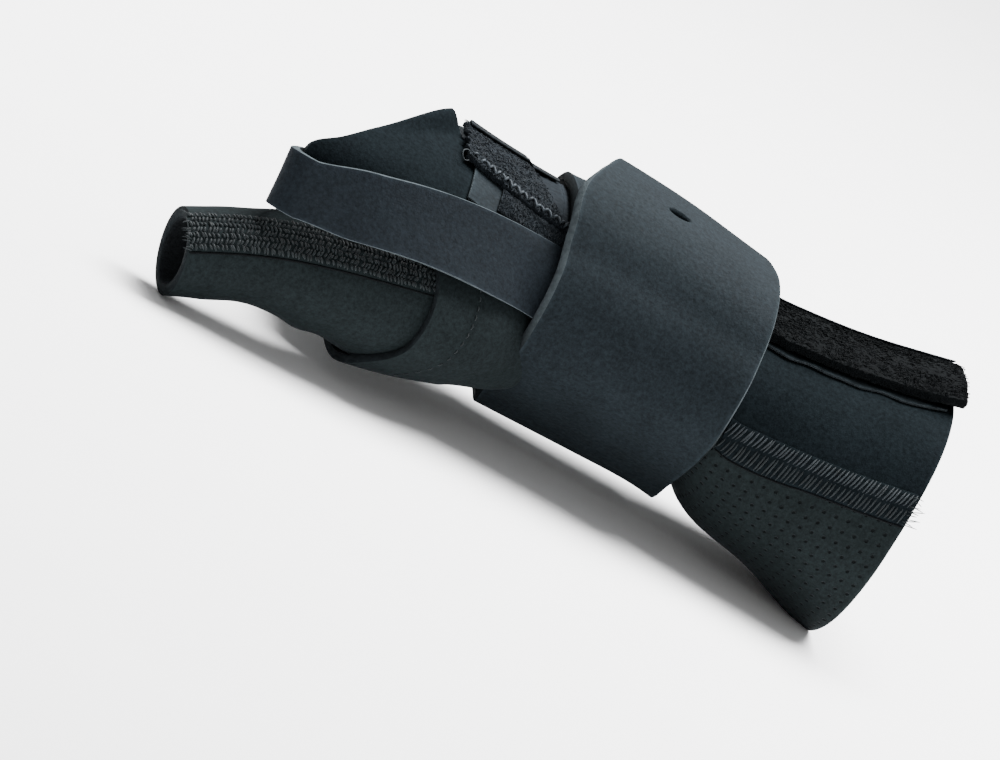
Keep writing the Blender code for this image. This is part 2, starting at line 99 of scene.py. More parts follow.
# The wide strap's way round: angle, and lift of its inner face.
STRAP_WAY = np.array((
    (44, 0.4), (50, 2.6), (57, 4.8), (104, 4.7), (122, 4.7), (140, 1.6), (160, 0.8), (212, 0.8),
    (228, 2.6), (250, 5.3), (270, 4.5), (288, 4.9), (302, 1.8), (315, 0.6), (328, 0.4), (345, 2.2),
    (356, 3.8), (388, 4.8), (400, 5.6), (416, 9.4), (432, 12.4), (450, 13.4), (468, 12.5), (484, 10.6),
    (500, 7.2), (510, 5.3),
))
STRAP_START, STRAP_SPLIT, STRAP_END = 44.0, 300.0, 508.0
STRAP_JOINTS = (396.0, 430.0, 466.0)
STRAP_BEND = 5.0  # the angle at each side of a joint, for a bend that is not made
STRAP_DROP = 3.0  # how much lower the arch over the back is at the strap's edge nearer the elbow
STRAP_TUCK, STRAP_TUCK_LENGTH = 2.0, 16.0  # how the inner end's front edge is pressed down
BACK_RADIUS = 38.0  # of the strap's arch over the back
STRAP_SLIT = (21.5, 438.0, 7.0, 2.8)  # x, angle, length and width of the buttonhole slit
# Its two edges by the angle of its way round: it narrows towards its free end.
STRAP_EDGES = np.array((
    (40, -1, 54), (60, -4, 54), (120, -4, 54), (150, -1, 54), (270, -1, 53), (305, -3.2, 53),
    (370, -3.4, 54.5), (389, -3.8, 55), (407, -5.3, 55), (425, -6.2, 54.5), (440, -2, 54), (455, 3.5, 52.5),
    (470, 8, 51.5), (490, 12, 50), (508, 14, 49),
))
STRAP_DROP_WAY = np.array(((405, 0), (450, 1), (470, 1), (505, 0)))
SEAM_WAY = np.array(((-86, -8), (0, -8), (50, -5), (57, -1), (66, 4), (85, 9.5), (110, 16.5), (118, 18)))
FLAP_WAY = np.array(((-40, 65), (-31, 62), (-4, 53.5), (30, 60), (60, 64), (112, 71), (118, 72)))
FLAP_FAR = np.array(((-40, 94), (-30, 95), (-6, 97), (10, 104), (30, 114), (118, 114)))
# The flap's pile stops at this angle beside the strap. Its face is smooth and lower from there.
SMOOTH_CORNER = np.array(((-40, 190), (-26, 118), (-18, 94), (-12, 74), (-7, 59), (10, 57), (118, 57)))
SMOOTH_DROP = 0.9
FLARE_START, FLARE_LENGTH, FLARE_HEIGHT = 90.0, 28.0, 1.6  # how the flap rises towards the elbow
FLAP_THICKNESS, FLAP_LIFT = 2.6, 1.1
FLAP_MIDDLE = (-6.95, 57.9)  # where the part under the strap starts and ends
FLAP_MIDDLE_TOP = 2.7  # how high its face lies: it's thinner than the rest, as the strap presses it
HOOK_PITCH = 1.3  # of the rows of hooks
TAPE_FROM, TAPE_TO = 9.0, -4.0  # the angles, past the flap's far edge, that its hinge tape covers
BACKING = (57.0, 110.0)  # the ends of the layer under the forearm flap
# The front edge of the layer over the base of the thumb, by the angle around the thumb.
WRAP_EDGE = np.array(((-125, -49), (-60, -47), (-25, -39), (-4, -36.8), (24, -35.6), (58, -36)))
WRAP_REAR, WRAP_LIFT, WRAP_THICKNESS = -4.0, 2.5, 2.2
# The pocket's ends along the arm, half its width, the height it hangs from, its depth and its corners' rise.
POCKET = (-28.0, 50.0, 11.0, -25.8, 3.2, 1.4)
# The thumb strap's height along the arm, from its turn in the web to its end under the wide strap.
THUMB_STRAP_WAY = np.array(((-76, 5.4), (-60, 8.6), (-40, 11.1), (-20, 11.0), (8, 7.8)))
THUMB_STRAP_WIDTH, THUMB_STRAP_NARROWING, THUMB_STRAP_THICKNESS = 17.0, 2.5, 2.4
THUMB_STRAP_BEND, THUMB_STRAP_LEG = 5.0, 5.0  # the radius of its turn and the length after it
THUMB_STRAP_FREE = -5.0  # towards the fingers from here it is pulled taut
THUMB_LAST_ANGLE = 360 * 95 / 96  # of the last of a tube's 96 columns, which closes on the first
THUMB_HOLLOW = 2.2  # how far the thumb's layers are pressed in on its underside
THUMB_FOLD, THUMB_FOLD_X, THUMB_FOLD_LENGTH = 1.1, -62.0, 4.5  # the fold that stands up in that hollow
REACH_POWER = 12  # how sharply its reach turns from one thing beneath it to the next
# The hand's front edge on the thumb side, by the share of the way from the seam to the back.
HAND_EDGE = np.array(((0, -79), (0.27, -79), (0.42, -72), (0.67, -61.5), (1, -44.5)))


def between(table, x, column=1):
    """A column of a table at x, on a smooth curve through its rows."""
    x = np.asarray(x, float)
    at, values = table[:, 0], table[:, column]
    slopes = np.empty(len(at))
    slopes[1:-1] = (values[2:] - values[:-2]) / (at[2:] - at[:-2])
    slopes[0] = (values[1] - values[0]) / (at[1] - at[0])
    slopes[-1] = (values[-1] - values[-2]) / (at[-1] - at[-2])
    i = np.clip(np.searchsorted(at, x) - 1, 0, len(at) - 2)
    width = at[i + 1] - at[i]
    share = np.clip((x - at[i]) / width, 0, 1)
    square, cube = share**2, share**3
    return (
        (2 * cube - 3 * square + 1) * values[i]
        + (cube - 2 * square + share) * width * slopes[i]
        + (3 * square - 2 * cube) * values[i + 1]
        + (cube - square) * width * slopes[i + 1]
    )


def ramp(value, low, high):
    """0 below low and 1 above high, smooth between."""
    share = np.clip((np.asarray(value, float) - low) / (high - low), 0, 1)
    return share**2 * (3 - 2 * share)


def rounded(value):
    return np.sign(value) * np.abs(value) ** (2 / SECTION_POWER)


def on_sleeve(x, degrees, lift):
    x, angle = np.asarray(x, float), np.radians(degrees)
    top, bottom = between(SLEEVE, x, 2), between(SLEEVE, x, 3)
    y = -(between(SLEEVE, x, 1) + lift) * rounded(np.cos(angle))
    z = (top + bottom) / 2 + ((top - bottom) / 2 + lift) * rounded(np.sin(angle))
    return np.stack(np.broadcast_arrays(x, y, z), axis=-1)


def on_thumb(x, degrees, lift):
    """A point around the thumb's tube, in the plane across its axis at x."""
    x = np.asarray(x, float)
    behind, centre, ahead = (
        np.stack((at, between(THUMB, at, 1), between(THUMB, at, 2)), axis=-1) for at in (x - 1, x, x + 1)
    )
    along = unit(np.where((x + 1 > THUMB[-1, 0])[..., None], centre - behind, ahead - centre))
    side = unit(np.cross(along, (0.0, 0.0, 1.0)))
    up = np.cross(side, along)
    angle = np.radians(degrees)[..., None]
    radius = (between(THUMB, x, 3) + lift)[..., None]
    return centre + radius * (np.cos(angle) * side + np.sin(angle) * up)


def placed(points):
    """Points in the frame's metres: tipped to lie flat, then moved."""
    x, y, z = np.moveaxis(np.asarray(points, float), -1, 0)
    across, height = x * math.cos(PITCH) - z * math.sin(PITCH), x * math.sin(PITCH) + z * math.cos(PITCH)
    tipped = np.stack((across, y, height), axis=-1)
    return (tipped - ORIGIN) * MM


def floor_under(x):
    """The height, in the arm's own frame, of the surface that the tipped splint lies on."""
    return (ORIGIN[2] - x * math.sin(PITCH)) / math.cos(PITCH)


def rim_at(degrees):
    """Where the elbow rim is at an angle around the arm: further on the back than on the palm."""
    return RIM_X + RIM_LEAN * np.sin(np.radians(degrees))


# Meshes


def grid(surface, steps):
    """Points of a surface(u, v) with u and v from 0 to 1, as an array of steps + 1 each way."""
    u, v = np.meshgrid(np.linspace(0, 1, steps[0] + 1), np.linspace(0, 1, steps[1] + 1), indexing="ij")
    return surface(u, v)


def cell_middles(rows, columns):
    """The shares u and v at the middle of each cell of a grid."""
    return np.meshgrid((np.arange(rows) + 0.5) / rows, (np.arange(columns) + 0.5) / columns, indexing="ij")


def unit(vectors):
    return vectors / np.maximum(np.linalg.norm(vectors, axis=-1, keepdims=True), 1e-9)


def facing(points, around=False):
    """Each point's normal: its u direction crossed with its v direction."""
    du = np.gradient(points, axis=0)
    if around:
        dv = np.roll(points, -1, axis=1) - np.roll(points, 1, axis=1)
    else:
        dv = np.gradient(points, axis=1)
    return unit(np.cross(du, dv))


def bumps(points, size, seed):
    """Smooth noise from about -1 to 1, with lumps of a size in millimetres."""
    shift = Vector((seed * 17.3, seed * 5.1, seed * 9.7))
    flat = points.reshape(-1, 3) / size
    found = np.fromiter((noise.noise(Vector(p) + shift) for p in flat), float, len(flat))
    return found.reshape(points.shape[:-1])


def new_object(name, vertices, faces, looks, face_looks=None, uvs=None, cut_edge_distance=None, sharp=40):
    mesh = bpy.data.meshes.new(name)
    mesh.from_pydata(placed(vertices).tolist(), [], [list(map(int, face)) for face in faces])
    for look in looks:
        mesh.materials.append(LOOKS[look])
    if face_looks is not None:
        mesh.polygons.foreach_set("material_index", np.asarray(face_looks, np.int32))
    if uvs is not None:
        layer = mesh.uv_layers.new(name="UVMap")
        corners = np.empty(len(mesh.loops), np.int32)
        mesh.loops.foreach_get("vertex_index", corners)
        layer.data.foreach_set("uv", (uvs[corners] * MM).astype(np.float32).ravel())
    if cut_edge_distance is not None:
        mesh.attributes.new("cut_edge_distance", "FLOAT", "POINT").data.foreach_set("value", cut_edge_distance.astype(np.float32))
    mesh.shade_smooth()
    mesh.set_sharp_from_angle(angle=math.radians(sharp))
    made = bpy.data.objects.new(name, mesh)
    bpy.context.scene.collection.objects.link(made)
    return made


def run_along(points, axis):
    """The length from a grid's start to each of its points, along one of its two ways."""
    run = np.cumsum(np.linalg.norm(np.diff(points, axis=axis), axis=-1), axis)
    return np.concatenate((np.zeros_like(run.take([0], axis)), run), axis)


def edge_distances(outer, around, open_ends):
    """How far each point of a layer is from its nearest cut edge."""
    along_u, along_v = run_along(outer, 0), run_along(outer, 1)
    near = np.minimum(along_u, along_u[-1:] - along_u)
    if not around and 2 not in open_ends:
        near = np.minimum(near, along_v)
    if not around and 3 not in open_ends:
        near = np.minimum(near, along_v[:, -1:] - along_v)
    return near


def cells_of(index, around):
    """The quads between neighbouring points of a grid of vertex numbers."""
    cells = np.concatenate((index, index[:, :1]), axis=1) if around else index
    return np.stack((cells[:-1, :-1], cells[1:, :-1], cells[1:, 1:], cells[:-1, 1:]), axis=-1).reshape(-1, 4)


def edge_loops(index, outer, around, slant, open_ends):
    """Each loop of vertices round a layer's edge, the ways out of it and how far the inner face goes."""
    du, dv = (unit(np.gradient(outer, axis=axis)) for axis in (0, 1))
    if around:
        return [(index[0], -du[0], slant[0]), (index[-1][::-1], du[-1][::-1], slant[1])]
    sides = (index[0, ::-1], index[:, 0], index[-1, :], index[::-1, -1])
    reach = (-du[0, ::-1], -dv[:, 0], du[-1, :], dv[::-1, -1])
    slants = (slant[0], slant[2], slant[1], slant[3])
    free = (1, 2 not in open_ends, 1, 3 not in open_ends)
    ring, push, over = [], [], []
    for k in range(4):
        ring.extend(sides[k][:-1])
        for step in range(len(sides[k]) - 1):
            way, amount = reach[k][step] * free[k], slants[k]
            if step == 0:
                way = way + reach[k - 1][-1] * free[k - 1]
                amount = max(amount, slants[k - 1])
            push.append(way)
            over.append(amount)
    return [(np.array(ring), np.array(push), np.array(over)[:, None])]


def fabric(
    name, outer, thickness, looks, around=False, round_edge=0.35, slant=(0, 0, 0, 0), out=1, open_ends=()
):
    """A closed layer of fabric under a grid of outer points. looks are its face, cut edge and lining.

    slant is how far the inner face stands out past the outer one at the edges u=0, u=1, v=0 and v=1, as a
    slanted cut leaves it. open_ends are the v edges (2 or 3) that are cut square, where another length
    carries on.
    """
    index = np.arange(outer[..., 0].size).reshape(outer.shape[:2])
    points, ways = outer.reshape(-1, 3), (facing(outer, around) * out).reshape(-1, 3)
    across = run_along(outer[..., 1:], 1)
    flat = np.stack((outer[..., 0], across[:, -1:] - across), axis=-1).reshape(-1, 2)
    near = edge_distances(outer, around, open_ends).ravel()
    cells = cells_of(index, around)
    faces = [cells[:, ::-1] if out < 0 else cells, (cells[:, ::-1] if out > 0 else cells) + index.size]
    kinds = [np.zeros(len(cells)), np.full(len(cells), 2)]
    rims, uvs, cut_edge_distance = [], [flat, flat], [near, near]
    moved, start = np.zeros_like(points), 2 * index.size
    for ring, push, over in edge_loops(index, outer, around, slant, open_ends):
        lines = [ring]
        for turn in RIM_TURNS:
            bulge = round_edge * math.sin(math.pi * turn) ** 0.5
            rims.append(points[ring] + push * (bulge + over * turn) - ways[ring] * thickness * turn)
            uvs.append(flat[ring] + turn * thickness)
            cut_edge_distance.append(np.zeros(len(ring)))
            lines.append(start + np.arange(len(ring)))
            start += len(ring)
        moved[ring] = push * over
        lines.append(ring + index.size)
        for upper, lower in zip(lines, lines[1:]):
            quads = np.stack((upper, np.roll(upper, -1), np.roll(lower, -1), lower), axis=-1)
            faces.append(quads[:, ::-1] if out < 0 else quads)
            kinds.append(np.ones(len(quads)))
    vertices = np.concatenate([points, points - ways * thickness + moved, *rims])
    kinds, uvs, cut_edge_distance = (np.concatenate(parts) for parts in (kinds, uvs, cut_edge_distance))
    return new_object(name, vertices, np.concatenate(faces), looks, kinds, uvs, cut_edge_distance)


def stretched(piece, points):
    """Works out a layer of cloth's mean size each way, as it is cut, and gives the piece back; the sizes are
    not used.
    """
    width = np.linalg.norm(np.diff(points, axis=0), axis=-1).sum(0).mean() * MM
    length = np.linalg.norm(np.diff(points, axis=1), axis=-1).sum(1).mean() * MM
    return piece


def tube_faces(count, sides):
    """The faces of a closed tube through a count of rings."""
    index = np.arange(count * sides).reshape(count, sides)
    after = np.roll(index, -1, 1)
    quads = np.stack((index[:-1], after[:-1], after[1:], index[1:]), axis=-1).reshape(-1, 4)
    return [*quads.tolist(), index[0][::-1].tolist(), index[-1].tolist()]


def tube_parts(path, radius, sides):
    """Vertices and faces of a closed thread along a path, thinning at both ends."""
    tangent = unit(np.gradient(path, axis=0))
    normal = np.zeros_like(path)
    guess = np.array((0.0, 0.0, 1.0)) if abs(tangent[0, 2]) < 0.9 else np.array((1.0, 0.0, 0.0))
    for i, ahead in enumerate(tangent):
        guess = guess - ahead * (guess @ ahead)
        guess = guess / max(np.linalg.norm(guess), 1e-9)
        normal[i] = guess
    other = np.cross(tangent, normal)
    size = np.full(len(path), radius)
    size[[0, -1]] = radius * 0.35
    turn = np.linspace(0, 2 * math.pi, sides, endpoint=False)
    rings = path[:, None] + size[:, None, None] * (
        np.cos(turn)[None, :, None] * normal[:, None] + np.sin(turn)[None, :, None] * other[:, None]
    )
    faces = tube_faces(len(path), sides)
    return rings.reshape(-1, 3), faces


def threads(name, paths, radius, look, sides=6):
    """Many short threads as one piece."""
    vertices, faces, start = [], [], 0
    for path in paths:
        points, quads = tube_parts(np.asarray(path, float), radius, sides)
        vertices.append(points)
        faces.extend([[corner + start for corner in face] for face in quads])
        start += len(points)
    return new_object(name, np.concatenate(vertices), faces, [look], sharp=80)


def smooth_path(points, between_each):
    """A path through points, evened out so that it bends softly."""
    points = np.asarray(points, float)
    at = np.linspace(0, len(points) - 1, (len(points) - 1) * between_each + 1)
    path = np.stack([np.interp(at, np.arange(len(points)), points[:, i]) for i in range(3)], axis=-1)
    return smoothed(path, 4)


def arc(start, end, height):
    """A stitch in a seam's own (along, across, lift) coordinates, diving into the cloth at both ends."""
    share = np.linspace(0, 1, 5)[:, None]
    line = np.asarray(start, float) * (1 - share) + np.asarray(end, float) * share
    line[:, 2] += height * np.sin(math.pi * share[:, 0]) ** 0.6
    return line


# Materials


class Nodes:
    """A short way to write a material's node tree."""

    def __init__(self, name):
        self.material = bpy.data.materials.new(name)
        self.material.use_nodes = True
        self.tree = self.material.node_tree
        self.shader = self.tree.nodes["Principled BSDF"]
        self.place = self.add("ShaderNodeTexCoord").outputs["Object"]

    def add(self, kind, inputs=None, **settings):
        node = self.tree.nodes.new(kind)
        for key, value in settings.items():
            setattr(node, key, value)
        for key, value in (inputs or {}).items():
            self.set(node.inputs[key], value)
        return node

    def set(self, socket, value):
        if isinstance(value, bpy.types.NodeSocket):
            self.tree.links.new(value, socket)
        else:
            socket.default_value = value

    def noise(self, size, detail=3.0, roughness=0.55, place=None):
        """Noise with features of about a size in millimetres."""
        inputs = {"Vector": place or self.place, "Scale": 1 / (size * MM)}
        inputs.update({"Detail": detail, "Roughness": roughness})
        return self.add("ShaderNodeTexNoise", inputs).outputs["Fac"]

    def math(self, operation, a, b=0.0, clamp=False):
        return self.add("ShaderNodeMath", {0: a, 1: b}, operation=operation, use_clamp=clamp).outputs[0]

    def remap(self, value, low, high, to_low, to_high):
        return self.add(
            "ShaderNodeMapRange",
            {"Value": value, "From Min": low, "From Max": high, "To Min": to_low, "To Max": to_high},
        ).outputs["Result"]

    def mix(self, share, a, b):
        made = self.add("ShaderNodeMix", data_type="RGBA")
        self.set(made.inputs["Factor"], share)
        self.set(made.inputs["A"], a)
        self.set(made.inputs["B"], b)
        return made.outputs["Result"]

    def bump(self, height, strength, distance, under=None):
        inputs = {"Height": height, "Strength": strength, "Distance": distance * MM}
        if under is not None:
            inputs["Normal"] = under
        return self.add("ShaderNodeBump", inputs).outputs["Normal"]

    def finish(self, **values):
        for key, value in values.items():
            self.set(self.shader.inputs[key.replace("_", " ")], value)
        return self.material


def grey(colour, times):
    return (*(channel * times for channel in colour), 1.0)


def neoprene(name, colour, grain=0.5, knit=0.25, grain_size=0.9, edge_rub_and_highlight=2.0, gloss=0.04, perforated=False):
    """Knit faced neoprene: a fine knit, a soft grain, faint blotches, and edges rubbed a little lighter; on
    the flap's backing the far lighter edge is a painted highlight.
    """
    n = Nodes(name)
    blotch = n.noise(14, 4)
    heather = n.noise(1.1, 3, 0.7)
    fine = n.noise(0.45, 2)
    shade = n.math("ADD", n.remap(blotch, 0.3, 0.7, -0.14, 0.14), n.remap(fine, 0.3, 0.7, -0.18, 0.18))
    shade = n.math("ADD", shade, n.remap(heather, 0.3, 0.7, -0.5, 0.5))
    colour_now = n.mix(n.math("ADD", shade, 0.5, clamp=True), grey(colour, 0.62), grey(colour, 1.38))
    cut_edge_distance = n.add("ShaderNodeAttribute", attribute_name="cut_edge_distance").outputs["Fac"]
    near_edge = n.remap(cut_edge_distance, 0.1, 1.1, 1.0, 0.0)
    # lighter near cut edges: rubbed pale on most pieces, and a painted highlight on the flap's backing
    worn = n.math("MULTIPLY", near_edge, n.remap(n.noise(2.2, 3), 0.35, 0.65, 0.15, 0.7))
    colour_now = n.mix(worn, colour_now, grey(colour, edge_rub_and_highlight))
    soft_grain = n.noise(grain_size, 4, 0.6)
    surface = n.bump(soft_grain, grain, 0.35)
    pores = n.add("ShaderNodeTexVoronoi", {"Vector": n.place, "Scale": 1 / (0.55 * MM)}, feature="F1")
    surface = n.bump(pores.outputs["Distance"], knit, 0.12, surface)
    if perforated:
        hole = punched_holes(n)
        # painted shade: the punched holes are coloured near black, as the shade inside them
        colour_now = n.mix(n.math("MULTIPLY", hole, 0.75), colour_now, grey(colour, 0.12))
        surface = n.bump(n.math("SUBTRACT", 1.0, hole), 0.9, 0.5, surface)
    return n.finish(
        Base_Color=colour_now,
        Roughness=n.remap(fine, 0.2, 0.8, 0.72, 0.9),
        Specular_IOR_Level=gloss,
        Sheen_Weight=gloss / 2,
        Sheen_Roughness=0.4,
        Sheen_Tint=(0.72, 0.8, 0.9, 1),
        Normal=surface,
    )


def punched_holes(n):
    """A square grid of small round holes over the cloth's own flat coordinates, moved to be positive."""
    flat = n.add("ShaderNodeUVMap", uv_map="UVMap").outputs["UV"]
    flat = n.add("ShaderNodeVectorMath", {0: flat, 1: (1, 1, 1)}, operation="ADD").outputs[0]
    cell = n.add("ShaderNodeVectorMath", {0: flat, 1: (HOLE_PITCH * MM,) * 3}, operation="MODULO")
    half = (HOLE_PITCH * MM / 2,) * 3
    middle = n.add("ShaderNodeVectorMath", {0: cell.outputs[0], 1: half}, operation="SUBTRACT")
    parts = n.add("ShaderNodeSeparateXYZ", {0: middle.outputs[0]})
    x, y = parts.outputs["X"], parts.outputs["Y"]
    away = n.math("SQRT", n.math("ADD", n.math("MULTIPLY", x, x), n.math("MULTIPLY", y, y)))
    return n.remap(away, HOLE_RADIUS * 0.7 * MM, HOLE_RADIUS * 1.25 * MM, 1.0, 0.0)


def cut_foam(name, colour, painted_shade_below=None):
    """The foam core that a cut edge shows: tiny cells, and painted shade that darkens it below a height."""
    n = Nodes(name)
    cells = n.add("ShaderNodeTexVoronoi", {"Vector": n.place, "Scale": 1 / (0.4 * MM)}).outputs["Distance"]
    shade = n.remap(n.noise(1.8, 4), 0.3, 0.7, 0.0, 1.0)
    colour_now = n.mix(shade, grey(colour, 0.7), grey(colour, 1.25))
    if painted_shade_below is not None:
        # painted shade: the cut edge is painted darker towards the bottom, where less light falls
        height = n.add("ShaderNodeSeparateXYZ", {0: n.place}).outputs["Z"]
        out_of_shade = n.remap(height, (painted_shade_below - 16) * MM, painted_shade_below * MM, 0.0, 1.0)
        colour_now = n.mix(out_of_shade, grey(colour, 0.16), colour_now)
    return n.finish(
        Base_Color=colour_now, Roughness=0.95, Specular_IOR_Level=0.03, Normal=n.bump(cells, 0.6, 0.2)
    )


def loop_pile(name, colour):
    """Brushed loops: rough, with painted shade between the loops, and a furry sheen."""
    n = Nodes(name)
    loops = n.add("ShaderNodeTexVoronoi", {"Vector": n.place, "Scale": 1 / (0.8 * MM), "Randomness": 1.0})
    depth = loops.outputs["Distance"]
    tangle = n.noise(0.5, 5, 0.7)
    height = n.math("SUBTRACT", tangle, n.math("MULTIPLY", depth, 0.6))
    # painted shade: the colour darkens where the pile is low, between the loops
    shade = n.remap(height, 0.0, 0.6, 0.0, 1.0)
    return n.finish(
        Base_Color=n.mix(shade, grey(colour, 0.65), grey(colour, 1.3)),
        Roughness=0.95,
        Specular_IOR_Level=0.03,
        Sheen_Weight=0.01,
        Sheen_Roughness=0.6,
        Sheen_Tint=(0.75, 0.8, 0.85, 1),
        Normal=n.bump(height, 0.7, 0.5),
    )


def sewing_thread(name, colour, gloss=0.2):
    """Twisted polyester thread."""
    n = Nodes(name)
    twist = n.add("ShaderNodeTexWave", {"Vector": n.place, "Scale": 1 / (1.1 * MM), "Distortion": 2.0})
    twist.bands_direction = "DIAGONAL"
    shade = n.remap(n.noise(3.0, 2), 0.3, 0.7, 0.0, 1.0)
    return n.finish(
        Base_Color=n.mix(shade, grey(colour, 0.7), grey(colour, 1.3)),
        Roughness=0.6,
        Specular_IOR_Level=gloss,
        Sheen_Weight=gloss / 4,
        Normal=n.bump(twist.outputs["Fac"], 0.35, 0.15),
    )


def brushed_bar(name):
    n = Nodes(name)
    drawn_out = n.add("ShaderNodeMapping", {"Vector": n.place, "Scale": (0.04, 1.0, 1.0)}).outputs[0]
    lines = n.noise(0.25, 4, 0.6, drawn_out)
    return n.finish(
        Base_Color=n.mix(lines, (0.62, 0.63, 0.64, 1), (0.82, 0.83, 0.84, 1)),
        Metallic=1.0,
        Roughness=n.remap(lines, 0.2, 0.8, 0.25, 0.5),
        Normal=n.bump(lines, 0.15, 0.05),
    )


def floor_paper(name):
    n = Nodes(name)
    colour_now = n.mix(n.noise(60, 2), (0.88, 0.88, 0.89, 1), (0.92, 0.92, 0.92, 1))
    return n.finish(Base_Color=colour_now, Roughness=0.9)


PANEL = (0.0040, 0.0058, 0.0069)
STRAP = (0.0070, 0.0098, 0.0118)
FOAM = (0.042, 0.051, 0.056)

LOOKS = {
    "smooth": neoprene("smooth_neoprene_look", PANEL, grain=0.35, gloss=0.008),
    "thumb": neoprene("thumb_neoprene_look", (0.0066, 0.0094, 0.0101), grain=0.3, edge_rub_and_highlight=1.2),
    "perforated": neoprene("perforated_neoprene_look", (0.0061, 0.0087, 0.0092), grain=0.3, perforated=True),
    "strap": neoprene("strap_neoprene_look", STRAP, grain=0.55, grain_size=1.3),
    # painted shade and highlight: the backing is near black for the shade under the flap, and its edge is
    # made far lighter as a painted highlight
    "backing": neoprene("flap_backing_shade_and_highlight_look", (0.0016, 0.0022, 0.0026), edge_rub_and_highlight=7.0, gloss=0.008),
    "web_strap": neoprene("web_strap_neoprene_look", (0.0055, 0.0076, 0.0098), grain=0.5, grain_size=1.2),
    "lining": neoprene("lining_look", (0.007, 0.008, 0.009), grain=0.2, knit=0.5),
    "foam": cut_foam("cut_foam_look", FOAM),
    # the wide strap's cut edge, with painted shade darkening it below 48 mm
    "strap_foam": cut_foam("strap_cut_foam_look", FOAM, painted_shade_below=48.0),
    "black_foam": cut_foam("black_cut_foam_look", (0.0060, 0.0076, 0.0086)),
    "dark_foam": cut_foam("dark_cut_foam_look", (0.018, 0.0215, 0.024)),
    "loop": loop_pile("loop_pile_look", (0.0088, 0.0111, 0.0136)),
    # painted shade: a darker copy of the loop pile, for the closure flap's forearm part
    "painted_shade_loop": loop_pile("painted_shade_loop_pile_look", (0.0016, 0.0021, 0.0024)),
    "thread": sewing_thread("thread_look", (0.0088, 0.0118, 0.0130), gloss=0.12),
    "pale_thread": sewing_thread("pale_thread_look", (0.0135, 0.0175, 0.0205), gloss=0.15),
    "white_thread": sewing_thread("white_thread_look", (0.027, 0.033, 0.039), gloss=0.08),
    "dark_thread": sewing_thread("dark_thread_look", (0.0022, 0.0028, 0.0032), gloss=0.03),
    "loop_yarn": sewing_thread("loop_yarn_look", (0.0098, 0.0125, 0.0152), gloss=0.03),
    # painted shade: a darker copy of the loop yarn, for the closure flap's forearm part
    "painted_shade_yarn": sewing_thread("painted_shade_yarn_look", (0.0017, 0.0022, 0.0026), gloss=0.015),
    "hook": loop_pile("hook_tape_look", (0.01, 0.011, 0.012)),
    "hook_plastic": sewing_thread("hook_plastic_look", (0.012, 0.013, 0.014)),
    "bar": brushed_bar("aluminium_look"),
}


def made(piece, body, slot, *replaced):
    """Sets what a finished piece moves with, and hides the CAD nodes it stands for. slot is not used."""
    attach(piece, body)
    if replaced:
        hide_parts(*replaced)
    return piece


def sewn(name, paths, radius, look, body="root", sides=6):
    """Stitches, as one piece that moves with the cloth they are in."""
    return made(threads(name, paths, radius, look, sides), body, "thread")


# Panels


def seam_angle(x):
    return between(SEAM_WAY, x)


def relaxed(points, amount, size, seed, around=False):
    """The same grid with soft lumps pushed in and out along its normals."""
    return points + facing(points, around) * (amount * bumps(points, size, seed))[..., None]


def palm_surface(u, v):
    thumb_side = np.clip((v - 0.55) / 0.35, 0, 1)
    edge = PALM_EDGE + THUMB_HOLE_DEPTH * thumb_side**1.5
    x = edge + u * (rim_at(PALM_START + v * (360 - PALM_START)) - edge)
    high = 360 + seam_angle(x) - 0.6
    points = on_sleeve(x, PALM_START + v * (high - PALM_START), 0)
    points[..., 2] = np.maximum(points[..., 2], floor_under(x))
    return points


def thumb_side_surface(u, v):
    edge = between(HAND_EDGE, v)
    x = edge + u * (rim_at(BACK_START * v) - edge)
    near = seam_angle(x) + 0.6
    curl = CORNER_CURL * ramp(v, 0.62, 1) * (1 - ramp(x, edge, edge + CORNER_LENGTH))
    return on_sleeve(x, near + v * (BACK_START - near), curl)


def far_side_surface(u, v):
    degrees = BACK_END + v * (PALM_START - 1.4 - BACK_END)
    return on_sleeve(FAR_SIDE_EDGE + u * (rim_at(degrees) - FAR_SIDE_EDGE), degrees, 0)


def cut_away(piece, rings):
    """Takes a closed tube through rings of points out of a piece."""
    faces = tube_faces(len(rings), len(rings[0]))
    cutter = new_object(piece.name + "_cutter", np.concatenate(rings), faces, [])
    cut = piece.modifiers.new("cut", "BOOLEAN")
    cut.object, cut.solver = cutter, "EXACT"
    graph = bpy.context.evaluated_depsgraph_get()
    mesh = bpy.data.meshes.new_from_object(piece.evaluated_get(graph), depsgraph=graph)
    piece.modifiers.clear()
    piece.data = mesh
    bpy.data.objects.remove(cutter)
    return piece


def rings_of(put, low, high, steps, turn_step, lift):
    """Rings round the sleeve or round the thumb, at even steps along it."""
    turn = np.arange(0, 360, turn_step)
    return [put(np.full(len(turn), x), turn, lift) for x in np.linspace(low, high, steps)]


def panels():
    rows = (
        ("palm_panel", palm_surface, (150, 90), 16, "perforated"),
        ("thumb_side_panel", thumb_side_surface, (170, 50), 18, "smooth"),
        ("little_finger_side_panel", far_side_surface, (140, 60), 18, "smooth"),
    )
    for seed, (node, surface, steps, lump, look) in enumerate(rows, 1):
        points = relaxed(grid(surface, steps), 0.28, lump, seed)
        panel = fabric(node + "_cloth", points, NEOPRENE, (look, "dark_foam", "lining"))
        if node == "palm_panel":
            cut_away(panel, rings_of(on_thumb, -80, 4, 14, 8.0, -NEOPRENE))
        made(stretched(panel, points), "root", look + "_neoprene", node)


# The thumb


